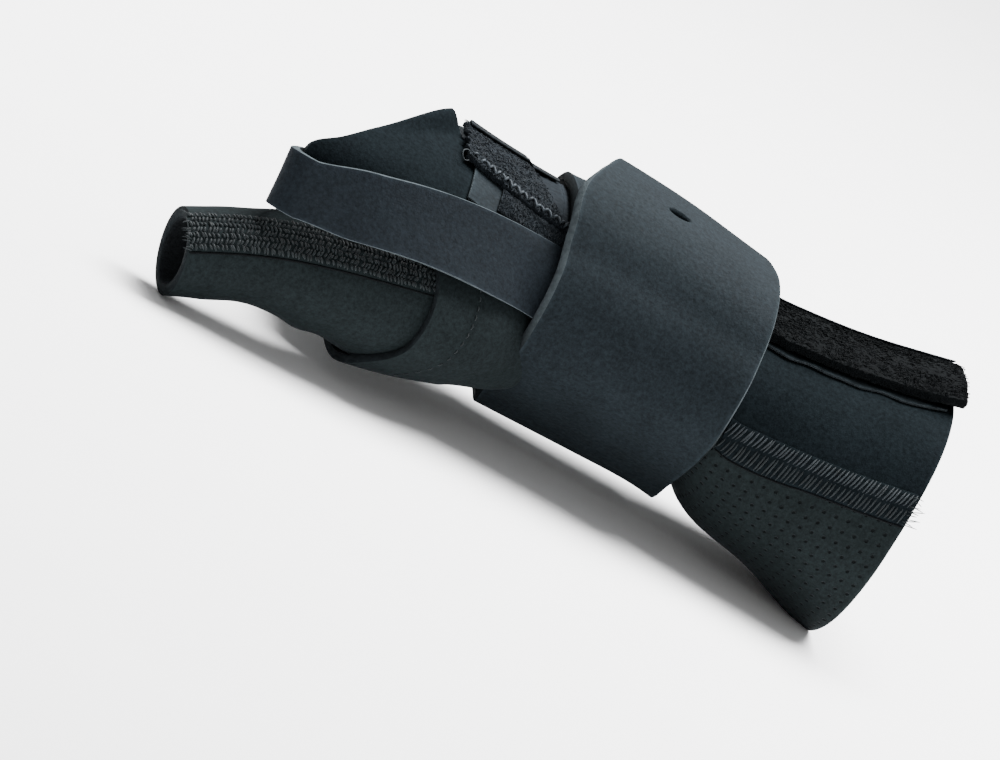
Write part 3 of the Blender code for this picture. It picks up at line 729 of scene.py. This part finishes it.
def thumb_tube(low, high, slant):
    """The thumb's layer between two places along the arm, starting further back by the slant on its top."""

    def surface(u, v):
        degrees = v * THUMB_LAST_ANGLE
        rise = np.sin(np.radians(degrees))
        start = low + slant * (1 + rise) / 2
        x = start + u * (high - start)
        hollow = THUMB_HOLLOW * ramp(x, -92, -74) * (1 - ramp(x, -60, -42))
        fold = THUMB_FOLD * np.exp(-((x - THUMB_FOLD_X) / THUMB_FOLD_LENGTH) ** 2)
        return on_thumb(x, degrees, np.maximum(-rise, 0) ** 2 * (fold - hollow))

    return surface


def thumb_wrap_surface(u, v):
    degrees = WRAP_EDGE[0, 0] + v * (WRAP_EDGE[-1, 0] - WRAP_EDGE[0, 0])
    front = between(WRAP_EDGE, degrees)
    return on_thumb(front + u * (WRAP_REAR - front), degrees, WRAP_LIFT)


def thumb_layers():
    sleeve, panel = thumb_tube(-100, THUMB_SPLIT, 3.5), thumb_tube(THUMB_SPLIT + 0.05, -2, 0)
    for name, node, surface, steps, lump, thickness, around in (
        ("thumb_sleeve_cloth", "thumb_sleeve", sleeve, (70, 95), (0.3, 12, 4), NEOPRENE, True),
        ("thenar_panel_cloth", "thenar_panel", panel, (40, 95), (0.3, 12, 5), NEOPRENE, True),
        ("thumb_wrap_cloth", "thumb_wrap", thumb_wrap_surface, (60, 90), (0.2, 10, 6), WRAP_THICKNESS, False),
    ):
        points = relaxed(grid(surface, steps), *lump, around=around)
        piece = fabric(name, points, thickness, ("thumb", "black_foam", "lining"), around=around)
        cut_away(piece, rings_of(on_sleeve, -72, 30, 18, 5.0, 0.25))
        made(stretched(piece, points), "root", "smooth_neoprene", node)


def radial_reach(x, z):
    """How far out the thumb side reaches at a height, as the CAD's web strap lies."""
    top, bottom = between(SLEEVE, x, 2), between(SLEEVE, x, 3)
    share = np.minimum(np.abs((z - (top + bottom) / 2) / ((top - bottom) / 2)), 0.98)
    hand = between(SLEEVE, x, 1) * (1 - share**SECTION_POWER) ** (1 / SECTION_POWER) + 0.6
    radius = between(THUMB, x, 3) + NEOPRENE + 1.2
    rise = z - between(THUMB, x, 2)
    over = np.maximum(rise - radius, 0)
    thumb = np.maximum(np.sqrt(np.maximum(radius**2 - rise**2, 0)) - between(THUMB, x, 1) - 2 * over, 0)
    web = 45.0 * np.clip((-45.0 - x) / 15.0, 0, 1)
    return (hand**REACH_POWER + thumb**REACH_POWER + web**REACH_POWER) ** (1 / REACH_POWER)


def pulled_tight(at, heights):
    """A band's heights over a profile that it's pulled tight over: the profile's upper hull."""
    hull = []
    for i in range(len(at)):
        while len(hull) > 1:
            a, b = hull[-2], hull[-1]
            if (heights[b] - heights[a]) * (at[i] - at[a]) > (heights[i] - heights[a]) * (at[b] - at[a]):
                break
            hull.pop()
        hull.append(i)
    return np.interp(at, at[hull], heights[hull])


def smoothed(values, passes):
    """Evened out along the first axis, with both ends held."""
    values = values.copy()
    for _ in range(passes):
        values[1:-1] = (values[:-2] + 2 * values[1:-1] + values[2:]) / 4
    return values


def thumb_strap():
    """Runs towards the fingers to the web, bends round there and ends in a short leg inside the hand."""
    start, turn = THUMB_STRAP_WAY[-1, 0], THUMB_STRAP_WAY[0, 0]
    straight, bend = start - turn, math.pi * THUMB_STRAP_BEND
    run, share = np.linspace(0, straight + bend + THUMB_STRAP_LEG, 200), np.linspace(0, 1, 31)
    x, v = np.meshgrid(np.maximum(start - run, turn), share, indexing="ij")
    width = THUMB_STRAP_WIDTH - THUMB_STRAP_NARROWING * ramp(-x, 60, -turn)
    z = between(THUMB_STRAP_WAY, x) + (v - 0.5) * width
    reach = radial_reach(x, z)
    taut = np.where((x[:, 0] < THUMB_STRAP_FREE) & (run < straight))[0]
    for column in range(len(share)):
        reach[taut, column] = pulled_tight(run[taut], reach[taut, column])
    for row in taut:
        reach[row] = pulled_tight(share, reach[row])
    reach[run >= straight] = reach[taut[-1]]
    reach = smoothed(reach, 30)
    turned = (np.clip((run - straight) / bend, 0, 1) * math.pi)[:, None]
    leg = np.maximum(run - straight - bend, 0)[:, None]
    x = np.where((run > straight)[:, None], turn - THUMB_STRAP_BEND * np.sin(turned) + leg, x)
    inside = np.stack((x, THUMB_STRAP_BEND * (1 - np.cos(turned)) - reach, z), axis=-1)
    points = relaxed(inside - facing(inside) * THUMB_STRAP_THICKNESS, 0.15, 9, 7)
    looks = ("web_strap", "foam", "lining")
    strap = fabric("thumb_strap_band", points, THUMB_STRAP_THICKNESS, looks, slant=(0, 0, -0.9, 0.5), out=-1)
    made(stretched(strap, points), "root", "strap_neoprene", "thumb_strap")


# The wide strap


def strap_point(x, way, lift):
    """A point at a lift above the strap's inner face: over the back, the strap is lower towards the elbow."""
    low, high = between(STRAP_EDGES, way), between(STRAP_EDGES, way, 2)
    across = np.clip((x - low) / (high - low), 0, 1)
    drop = STRAP_DROP * across**1.5 * between(STRAP_DROP_WAY, way)
    tucked = ramp(way, 50, 62) * (1 - ramp(way, 120, 135))
    tuck = STRAP_TUCK * (1 - ramp(x, low, low + STRAP_TUCK_LENGTH)) * tucked
    return on_sleeve(x, way, between(STRAP_WAY, way) + lift - drop - tuck)


def strap_surface(start, end):
    def surface(u, v):
        way = start + v * (end - start)
        low, high = between(STRAP_EDGES, way), between(STRAP_EDGES, way, 2)
        return strap_point(low + u * (high - low), way, STRAP_THICKNESS)

    return surface


def strap_length(name, start, end, open_ends, edge="strap_foam"):
    columns = max(int((end - start) * 0.85), 8)
    points = relaxed(grid(strap_surface(start, end), (60, columns)), 0.25, 20, 8)
    looks = ("strap", edge, "lining")
    piece = fabric(name, points, STRAP_THICKNESS, looks, slant=(1.1, 0.5, 0, 0), open_ends=open_ends)
    return stretched(piece, points)


def bend_between(piece, one, two, way):
    """Bakes a strap length's transform into its mesh. Points on each side of a joint, at an angle of its way
    round, are worked out but no bend is made; one and two are not used.
    """
    middle = (STRAP_EDGES[0, 1] + STRAP_EDGES[0, 2]) / 2
    start = placed(strap_point(middle, way - STRAP_BEND, STRAP_THICKNESS))
    end = placed(strap_point(middle, way + STRAP_BEND, STRAP_THICKNESS))
    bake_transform(piece)


def buttonhole():
    """The tube that cuts the slit, through the strap from below it to above it."""
    x, way, length, width = STRAP_SLIT
    turn = np.linspace(0, 2 * math.pi, 16, endpoint=False)
    x, way = x + length / 2 * np.cos(turn), way + math.degrees(width / 2 / BACK_RADIUS) * np.sin(turn)
    return [strap_point(x, way, lift) for lift in (-2.0, STRAP_THICKNESS + 2.0)]


def wide_strap():
    back = strap_length("wrist_strap_round", STRAP_START, STRAP_SPLIT, (3,), "black_foam")
    made(back, "root", "strap_neoprene", "wrist_strap")
    first, second, third = STRAP_JOINTS
    cuts = (STRAP_SPLIT, (first + second) / 2, (second + third) / 2, STRAP_END)
    bodies = ("root", "strap_tail_1", "strap_tail_2", "strap_tail_3")
    for k, name in enumerate(("front", "arch", "end")):
        open_ends = (2,) if name == "end" else (2, 3)
        piece = strap_length("wrist_strap_" + name, cuts[k], cuts[k + 1], open_ends)
        if name == "arch":
            cut_away(piece, buttonhole())
        bend_between(piece, bodies[k], bodies[k + 1], STRAP_JOINTS[k])
        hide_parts("wrist_" + bodies[k + 1])


# The closure flap


def bare(x, degrees):
    """1 where the flap's face is smooth, beside the strap on its far side, and 0 where it has its pile."""
    return ramp(degrees - between(SMOOTH_CORNER, x), -0.8, 0.8) * (1 - ramp(x, 20, 30))


def flap_rise(x, degrees):
    """How much the flap's height differs from its lift: higher at the elbow, lower where it is bare."""
    flare = np.maximum(x - FLARE_START, 0) / FLARE_LENGTH
    return FLARE_HEIGHT * flare**2 - SMOOTH_DROP * bare(x, degrees)


def flap_surface(low, high, lift):
    def surface(u, v):
        ragged = (0.5 * np.sin(v * 23) + 0.35 * np.sin(v * 51 + 1)) * (low < -30)
        x = low + ragged * (1 - u) + u * (high - 2.0 * ramp(high, 80, 110) * (1 - v) - low)
        near, far = between(FLAP_WAY, x), between(FLAP_FAR, x)
        degrees = near + v * (far - near)
        return on_sleeve(x, degrees, lift + flap_rise(x, degrees))

    return surface


def flap_is_bare(low, high, u, v):
    """Whether the flap's face at shares u and v between two places along the arm is its smooth corner."""
    x = low + u * (high - low)
    near, far = between(FLAP_WAY, x), between(FLAP_FAR, x)
    return bare(x, near + v * (far - near)) > 0.5


def surface_ways(surface, u, v):
    """Points of a surface(u, v), and the ways along it, across it and out of it there."""
    here, ahead, beside = surface(u, v), surface(u + 0.002, v), surface(u, v + 0.002)
    return here, unit(ahead - here), unit(beside - here), unit(np.cross(ahead - here, beside - here))


def pile_loops(name, surface, count, look, seed, body, left_out=None):
    """Small loops of yarn standing on a surface(u, v), but for where left_out(u, v) is true."""
    source = random.Random(seed)
    u, v = (np.array([source.random() for _ in range(count)]) for _ in range(2))
    if left_out:
        kept = ~left_out(u, v)
        u, v, count = u[kept], v[kept], int(kept.sum())
    here, along, across, out = surface_ways(surface, u, v)
    turn = np.array([source.uniform(0, 2 * math.pi) for _ in range(count)])[:, None]
    paths = []
    for point, normal, way in zip(here, out, unit(np.cos(turn) * along + np.sin(turn) * across)):
        reach, height = source.uniform(0.5, 1.0), source.uniform(0.2, 0.5)
        paths.append([
            point + way * reach * side + normal * (height * rise - 0.15)
            for side, rise in ((-0.7, 0), (-0.9, 0.75), (0, 1.1), (0.9, 0.75), (0.7, 0))
        ])
    made(threads(name, paths, 0.11, look, sides=4), body, "loop_pile")


def bare_cells(piece, low, high, steps):
    """Gives the cells of a flap's smooth corner a face without pile."""
    piece.data.materials.append(LOOKS["web_strap"])
    u, v = (share.ravel() for share in cell_middles(*steps))
    for cell in np.flatnonzero(flap_is_bare(low, high, u, v)):
        piece.data.polygons[cell].material_index = len(piece.data.materials) - 1


def closure_flap():
    middle_low, middle_high = FLAP_MIDDLE
    thin = FLAP_MIDDLE_TOP - FLAP_LIFT
    for part, low, high, lift, thickness, body, loops, pile, yarn in (
        ("hand", -37.6, -7.1, FLAP_LIFT, thin, "flap_hand", 2600, "loop", "loop_yarn"),
        ("middle", middle_low, middle_high, FLAP_LIFT, thin, "root", 0, "loop", ""),
        # the forearm part takes the darker copies of the pile and yarn: painted shade
        ("forearm", 58.0, 115.5, 1.2, FLAP_THICKNESS, "flap_forearm", 3600, "painted_shade_loop", "painted_shade_yarn"),
    ):
        node = "closure_flap_" + part
        surface = flap_surface(low, high, lift + thickness)
        steps = (int((high - low) * 1.6), 60)
        points = relaxed(relaxed(grid(surface, steps), 0.3, 1.5, 9), 0.35, 10, 10)
        flap = fabric(node + "_cloth", points, thickness, (pile, pile, "lining"))
        made(stretched(flap, points), body, "loop_pile", node)
        bare_cells(flap, low, high, steps)
        if loops:
            corner = partial(flap_is_bare, low, high)
            hinge_tape(node, low + 1.0, high - 1.0, body, thickness)
            pile_loops(node + "_loops", surface, loops, yarn, loops, body, corner)
    low, high = -6.9, 6.0  # the part of the flap's middle that shows beside the strap
    surface, corner = flap_surface(low, high, FLAP_MIDDLE_TOP), partial(flap_is_bare, low, high)
    pile_loops("closure_flap_middle_loops", surface, 900, "loop_yarn", 17, "root", corner)


def hinge_tape(node, low, high, body, thickness):
    """The tape that is sewn over a flap's far edge."""

    def surface(u, v):
        x = low + u * (high - low)
        degrees = between(FLAP_FAR, x) + TAPE_FROM + v * (TAPE_TO - TAPE_FROM)
        over = thickness + 1.1 + flap_rise(x, degrees)
        return on_sleeve(x, degrees, 0.7 + over * ramp(v, 0.3, 0.7))

    points = grid(surface, (int((high - low) * 1.2), 24))
    tape = fabric(node + "_hinge_tape", points, 0.5, ("thumb", "dark_foam", "lining"), round_edge=0.15)
    middle = np.array((0.5,))
    start, end = (placed(surface(middle, np.array((v,))))[0] for v in (0.25, 0.75))
    tuple(start)
    tuple(end)
    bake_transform(tape)


def flap_backing():
    """The neoprene layer under the loop pile, whose wavy cut edge shows below it on the forearm. Its face is
    painted near black as the shade under the flap, and its edge painted light as a highlight.
    """

    def surface(u, v):
        x = BACKING[0] + u * (BACKING[1] - BACKING[0])
        wave = 0.5 * np.sin(x / 3.1) + 0.35 * np.sin(x / 1.7 + 1)
        near = between(FLAP_WAY, x) - 4.5 - wave + 2.5 * ramp(x, 100, 110)
        return on_sleeve(x, near + v * (100.0 - near), 1.1)

    points = grid(surface, (110, 40))
    backing = fabric("flap_backing", points, 0.7, ("backing", "dark_foam", "lining"), round_edge=0.15)
    made(stretched(backing, points), "flap_forearm", "smooth_neoprene")


def patch_surface(low, high, under, over, lift):
    """Beside the flap, from an angle under it to over degrees past the flap's edge."""

    def surface(u, v):
        x = low + u * (high - low)
        near = under - 0.15 * (x - low)
        return on_sleeve(x, near + v * (between(FLAP_WAY, x) + over - near), lift)

    return surface


def hand_patch():
    """Two layers beside the flap on the back of the hand: a smooth one, and a rough one stitched over it."""
    smooth, rough = patch_surface(-34, -3, 40.5, 0.5, 1.0), patch_surface(-25, -4, 43.4, -1.0, 1.7)
    for name, surface, lump, thickness, looks, replaced in (
        ("smooth", smooth, (0.1, 5, 14), 0.8, ("strap", "foam"), ("hand_patch",)),
        ("rough", rough, (0.25, 1.3, 15), 0.7, ("loop", "dark_foam"), ()),
    ):
        points = relaxed(grid(surface, (50, 20)), *lump)
        patch = fabric("hand_patch_" + name, points, thickness, (*looks, "lining"), round_edge=0.2)
        made(patch, "root", "loop_pile", *replaced)
    surface = patch_surface(-24.5, -4.5, 44.2, -1.5, 1.7)
    pile_loops("hand_patch_loops", surface, 900, "loop_yarn", 16, "root")


def hook_tape(name, surface, size, body, node):
    """A woven tape with rows of small hooks that stand down from it, at a size in millimetres each way."""
    points = grid(surface, (24, 12))
    tape = fabric(name, points, 0.3, ("hook",) * 3, round_edge=0.1)
    made(stretched(tape, points), body, "hook_tape", node)
    u, v = (share.ravel() for share in cell_middles(int(size[0] / HOOK_PITCH), int(size[1] / HOOK_PITCH)))
    here, along, _, out = surface_ways(surface, u, v)
    bent = ((0, -0.2), (0, -0.55), (0.12, -0.78), (0.3, -0.8), (0.42, -0.62))
    paths = [
        [point + way * forward + normal * rise for forward, rise in bent]
        for point, way, normal in zip(here, along, out)
    ]
    made(threads(name + "_hooks", paths, 0.09, "hook_plastic", sides=4), body, "hook_tape")


def hook_tapes():
    def under_strap(u, v):
        return strap_point(17.0 + u * 29.0, 480.0 + v * 25.0, -0.05)

    hook_tape("wrist_strap_hook_tape", under_strap, (29, 17), "strap_tail_3", "wrist_strap_hook")
    for node, low, high, body in (
        ("hand_hook_tape", -35.0, -11.0, "flap_hand"),
        ("forearm_hook_tape", 64.0, 100.0, "flap_forearm"),
    ):
        def under_flap(u, v, low=low, high=high):
            x = low + u * (high - low)
            return on_sleeve(x, between(FLAP_WAY, x) + 2.0 + v * 16.0, 1.05)

        hook_tape(node + "_woven", under_flap, (high - low, 11), body, node)


def pocket_surface(u, v):
    """Flat at the bottom, rounded at both corners, and closing towards its end nearer the elbow."""
    low, high, half_width, top, depth, corner = POCKET
    x, turn = low + u * (high - low), (v - 0.5) * 2
    closing = 1 - 0.85 * ramp(x, high - 2.5, high)
    y = -half_width * np.sign(turn) * np.minimum(np.abs(turn) * 1.25, 1.0)
    side = np.clip((np.abs(turn) - 0.8) / 0.2, 0, 1)
    bend = np.clip((np.abs(turn) - 0.72) / 0.12, 0, 1) * math.pi / 2
    rise = side * depth + corner * (1 - np.cos(bend)) * (1 - side)
    z = top - depth * closing + np.minimum(rise, depth) * closing
    return np.stack(np.broadcast_arrays(x, y, z), axis=-1)


def pocket():
    """The pocket on the palm side: a narrow channel of neoprene, sewn down at both sides and at its end."""
    points = grid(pocket_surface, (110, 60))
    piece = fabric("stay_pocket_cloth", points, 0.7, ("smooth", "dark_foam", "lining"), round_edge=0.2)
    made(stretched(piece, points), "root", "smooth_neoprene", "stay_pocket")
    low, high, half_width, top, depth, _ = POCKET
    rows = []
    for y in (1.6 - half_width, half_width - 1.6):
        for x in np.arange(low + 1.5, high - 2.0, 2.4):
            rows.append(arc((x, y, top - depth - 0.05), (x + 1.8, y, top - depth - 0.05), -0.3))
    sewn("stay_pocket_stitches", rows, 0.2, "thread")


# Seams and stitching


def along(put, table, column, raised, angle_of):
    """Turns (along, across, lift) into a point beside a line of angles, on the sleeve or on the thumb."""

    def place(path):
        x, across, lift = np.asarray(path, float).T
        return put(x, angle_of(x) + np.degrees(across / (between(table, x, column) + raised)), lift)

    return place


def slanted_row(low, high, pitch, across, slant, height, wobble, source):
    """A row of slanted stitches from across[0] to across[1], leaning by slant along the seam."""
    rows = []
    for x in np.arange(low, high, pitch):
        shift, lean, short = (source.uniform(-wobble, wobble) for _ in range(3))
        start = (x + shift, across[0] + short, 0)
        end = (x + slant + shift + lean, across[1] - short, 0)
        rows.append(arc(start, end, height * source.uniform(0.6, 1.2)))
    return rows


def seam_base(seam, place, low, high, half_width, lift, look):
    """The low ridge that a flat seam's stitches lie on, fading to nothing at both sides."""

    def surface(u, v):
        x, across = low + u * (high - low), (v - 0.5) * 2 * half_width
        height = lift * (1 - (2 * v - 1) ** 4) + 0.12
        flat = np.stack((x.ravel(), across.ravel(), height.ravel()), axis=-1)
        return place(flat).reshape(*x.shape, 3)

    points = grid(surface, (int((high - low) * 1.4), 14))
    made(fabric(seam + "_ridge", points, 0.5, (look,) * 3, round_edge=0.1), "root", "thread", seam)


def straight_line(low, high, across, lift, count):
    return np.stack((np.linspace(low, high, count), np.full(count, across), np.full(count, lift)), axis=-1)


def flat_seam(prefix, place, low, high, seed):
    source = random.Random(seed)
    seam_base(prefix, place, low, high, 5.3, 0.45, "smooth")
    upper = slanted_row(low, high - 1.5, 1.15, (0.3, 4.9), 1.4, 0.45, 0.2, source)
    lower = slanted_row(low, high - 1.5, 1.25, (-4.9, -0.1), 1.1, 0.34, 0.3, source)
    sewn(prefix + "_upper_stitches", [place(path + (0, 0, 0.5)) for path in upper], 0.26, "pale_thread")
    sewn(prefix + "_lower_stitches", [place(path + (0, 0, 0.45)) for path in lower], 0.26, "thread")
    sewn(prefix + "_border", [place(straight_line(low, high, -5.5, 0.2, 60))], 0.3, "dark_thread")
    ends = []
    for _ in range(12):
        x, across = high - source.uniform(0, 1.5), source.uniform(-5, 5)
        reach = (source.uniform(2, 4.5), source.uniform(-1.5, 1.5), source.uniform(0.4, 1.6))
        ends.append(place(arc((x, across, 0.5), (x + reach[0], across + reach[1], reach[2]), 0.5)))
    sewn(prefix + "_frayed_ends", ends, 0.13, "thread", sides=5)


def thumb_seam():
    """Seven rows of stitches that lean to and fro, as a crocheted seam does."""
    source = random.Random(5)
    place = along(on_thumb, THUMB, 3, 0.0, lambda x: np.full(np.shape(x), 47.0))
    low, high, half_width = -97.4, THUMB_SPLIT, 5.2
    seam_base("thumb_seam", place, low, high, half_width, 0.5, "thumb")
    paths = []
    for row in range(7):
        inner = -half_width + 0.4 + row * 1.5
        slant = 0.7 if row % 2 else -0.7
        for path in slanted_row(low + 0.6, high, 0.95, (inner, inner + 1.45), slant, 0.4, 0.3, source):
            paths.append(place(path + (0, 0, 0.5)))
    sewn("thumb_seam_crochet", paths, 0.31, "thread", sides=5)
    line = place(straight_line(low, high, -half_width - 0.4, -0.05, 80))
    sewn("thumb_seam_ridge_line", [line], 0.35, "dark_thread")
    frays = []
    for _ in range(14):
        across = source.uniform(-half_width, half_width)
        reach = (-source.uniform(0.8, 2.6), source.uniform(-1.2, 1.2), source.uniform(0.2, 1.4))
        frays.append(place(arc((low + 0.6, across, 0.4), (low + reach[0], across + reach[1], reach[2]), 0.4)))
    sewn("thumb_seam_frays", frays, 0.13, "thread", sides=5)


def zigzag(low, high, pitch, half_width, height, source):
    """A zigzag of separate stitches along the arm: uneven, sunk in here and there, a few worn away."""
    stitches, side = [], 1
    for x in np.arange(low, high, pitch / 2):
        across, shift = half_width * source.uniform(0.5, 1.3), source.uniform(-0.25, 0.25)
        start = (x + shift, -side * across, source.uniform(-0.5, 0.1))
        end = (x + pitch / 2 + shift, side * across, source.uniform(-0.5, 0.1))
        if source.random() > 0.12:
            stitches.append(arc(start, end, height * source.uniform(0.5, 1.1)))
        side = -side
    return stitches


def flap_stitching():
    source = random.Random(21)

    def edge(path):
        x, across, lift = np.asarray(path, float).T
        return on_sleeve(x, between(FLAP_WAY, x) + 2.4 + np.degrees(across / 40.0), 3.2 + lift)

    for name, low, high, body in (("hand", -36.5, -7.6, "flap_hand"), ("middle", -6.6, -2.5, "root")):
        rows = [edge(path) for path in zigzag(low, high, 2.6, 1.45, 0.6, source)]
        sewn(name + "_flap_zigzag", rows, 0.38, "white_thread", body)


def loose_thread():
    """A short end of thread that has come out of the zigzag at the flap's corner."""
    route = (
        (-37.4, 66.2, 2.9), (-38.6, 65.5, 3.3), (-39.6, 63.6, 2.9),
        (-39.2, 61.4, 2.0), (-37.9, 60.4, 1.5), (-36.9, 61.6, 2.1),
    )
    path = [on_sleeve(x, degrees, lift) for x, degrees, lift in route]
    sewn("hand_flap_loose_thread", [smooth_path(path, 4)], 0.15, "pale_thread", "flap_hand")


def wrap_stitching():
    """The running stitches a little behind the front edge of the layer over the base of the thumb."""
    rows = []
    for turn in np.arange(-58, 40, 7.5):
        degrees = np.linspace(turn, turn + 4.5, 5)
        lift = WRAP_LIFT - 0.05 + 0.3 * np.sin(np.linspace(0, math.pi, 5))
        rows.append(on_thumb(between(WRAP_EDGE, degrees) + 11.0, degrees, lift))
    sewn("thumb_wrap_stitches", rows, 0.17, "thread")


def stitching():
    for name, high, seed, angle_of in (
        ("forearm_seam", 109.8, 11, seam_angle),
        ("far_seam", 108.8, 12, lambda x: np.full(np.shape(x), 200.5)),
    ):
        flat_seam(name, along(on_sleeve, SLEEVE, 1, 0.5, angle_of), 56.5, high, seed)
    thumb_seam()
    flap_stitching()
    loose_thread()
    wrap_stitching()


# What is left of the CAD, the floor, light and camera


def keep_cad(node, look):
    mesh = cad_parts[node].data
    mesh.materials.clear()
    mesh.materials.append(LOOKS[look])


def stage():
    bpy.ops.mesh.primitive_plane_add(size=6)
    floor = bpy.context.object
    floor.name = "floor"
    floor.data.materials.append(floor_paper("floor_look"))
    world = bpy.data.worlds.new("studio")
    world.use_nodes = True
    sky = world.node_tree.nodes["Background"].inputs
    sky["Color"].default_value, sky["Strength"].default_value = (1, 1, 1, 1), 0.42
    bpy.context.scene.world = world


def softbox(name, place, aim, size, power):
    light = bpy.data.lights.new(name, "AREA")
    light.shape, light.size, light.size_y, light.energy = "RECTANGLE", size[0], size[1], power
    lamp = bpy.data.objects.new(name, light)
    lamp.location = place
    lamp.rotation_euler = (Vector(aim) - Vector(place)).to_track_quat("-Z", "Y").to_euler()
    bpy.context.scene.collection.objects.link(lamp)


def camera():
    """From the thumb side, a little from the fingers and from above, rolled so that the arm slopes down."""
    azimuth, elevation, roll = math.radians(-12), math.radians(12), math.radians(32)
    distance, field, sensor = 2.6, 0.2667, 36
    right = Vector((math.cos(azimuth), math.sin(azimuth), 0))
    level = Vector((math.sin(azimuth), -math.cos(azimuth), 0))
    back = level * math.cos(elevation) + Vector((0, 0, math.sin(elevation)))
    up = back.cross(right)
    middle = Vector(placed((0, 0, 0))) + (5.1 * right - 25.4 * up) * MM
    rolled_right = math.cos(roll) * right + math.sin(roll) * up
    rolled_up = math.cos(roll) * up - math.sin(roll) * right
    data = bpy.data.cameras.new("camera")
    data.sensor_width, data.clip_end, data.lens = sensor, 20, sensor * distance / field
    view = bpy.data.objects.new("camera", data)
    view.matrix_world = Matrix((*zip(rolled_right, rolled_up, back, middle + back * distance), (0, 0, 0, 1)))
    bpy.context.scene.collection.objects.link(view)
    bpy.context.scene.camera = view


panels()
thumb_layers()
thumb_strap()
wide_strap()
closure_flap()
flap_backing()
hand_patch()
hook_tapes()
pocket()
stitching()
keep_cad("palm_stay", "bar")
stage()
softbox("overhead", (0.3, 0.35, 1.4), (0, 0, 0.04), (1.2, 1.0), 165)
softbox("front", (-0.3, -1.6, 0.8), (0, 0, 0.04), (1.0, 0.8), 5)
camera()
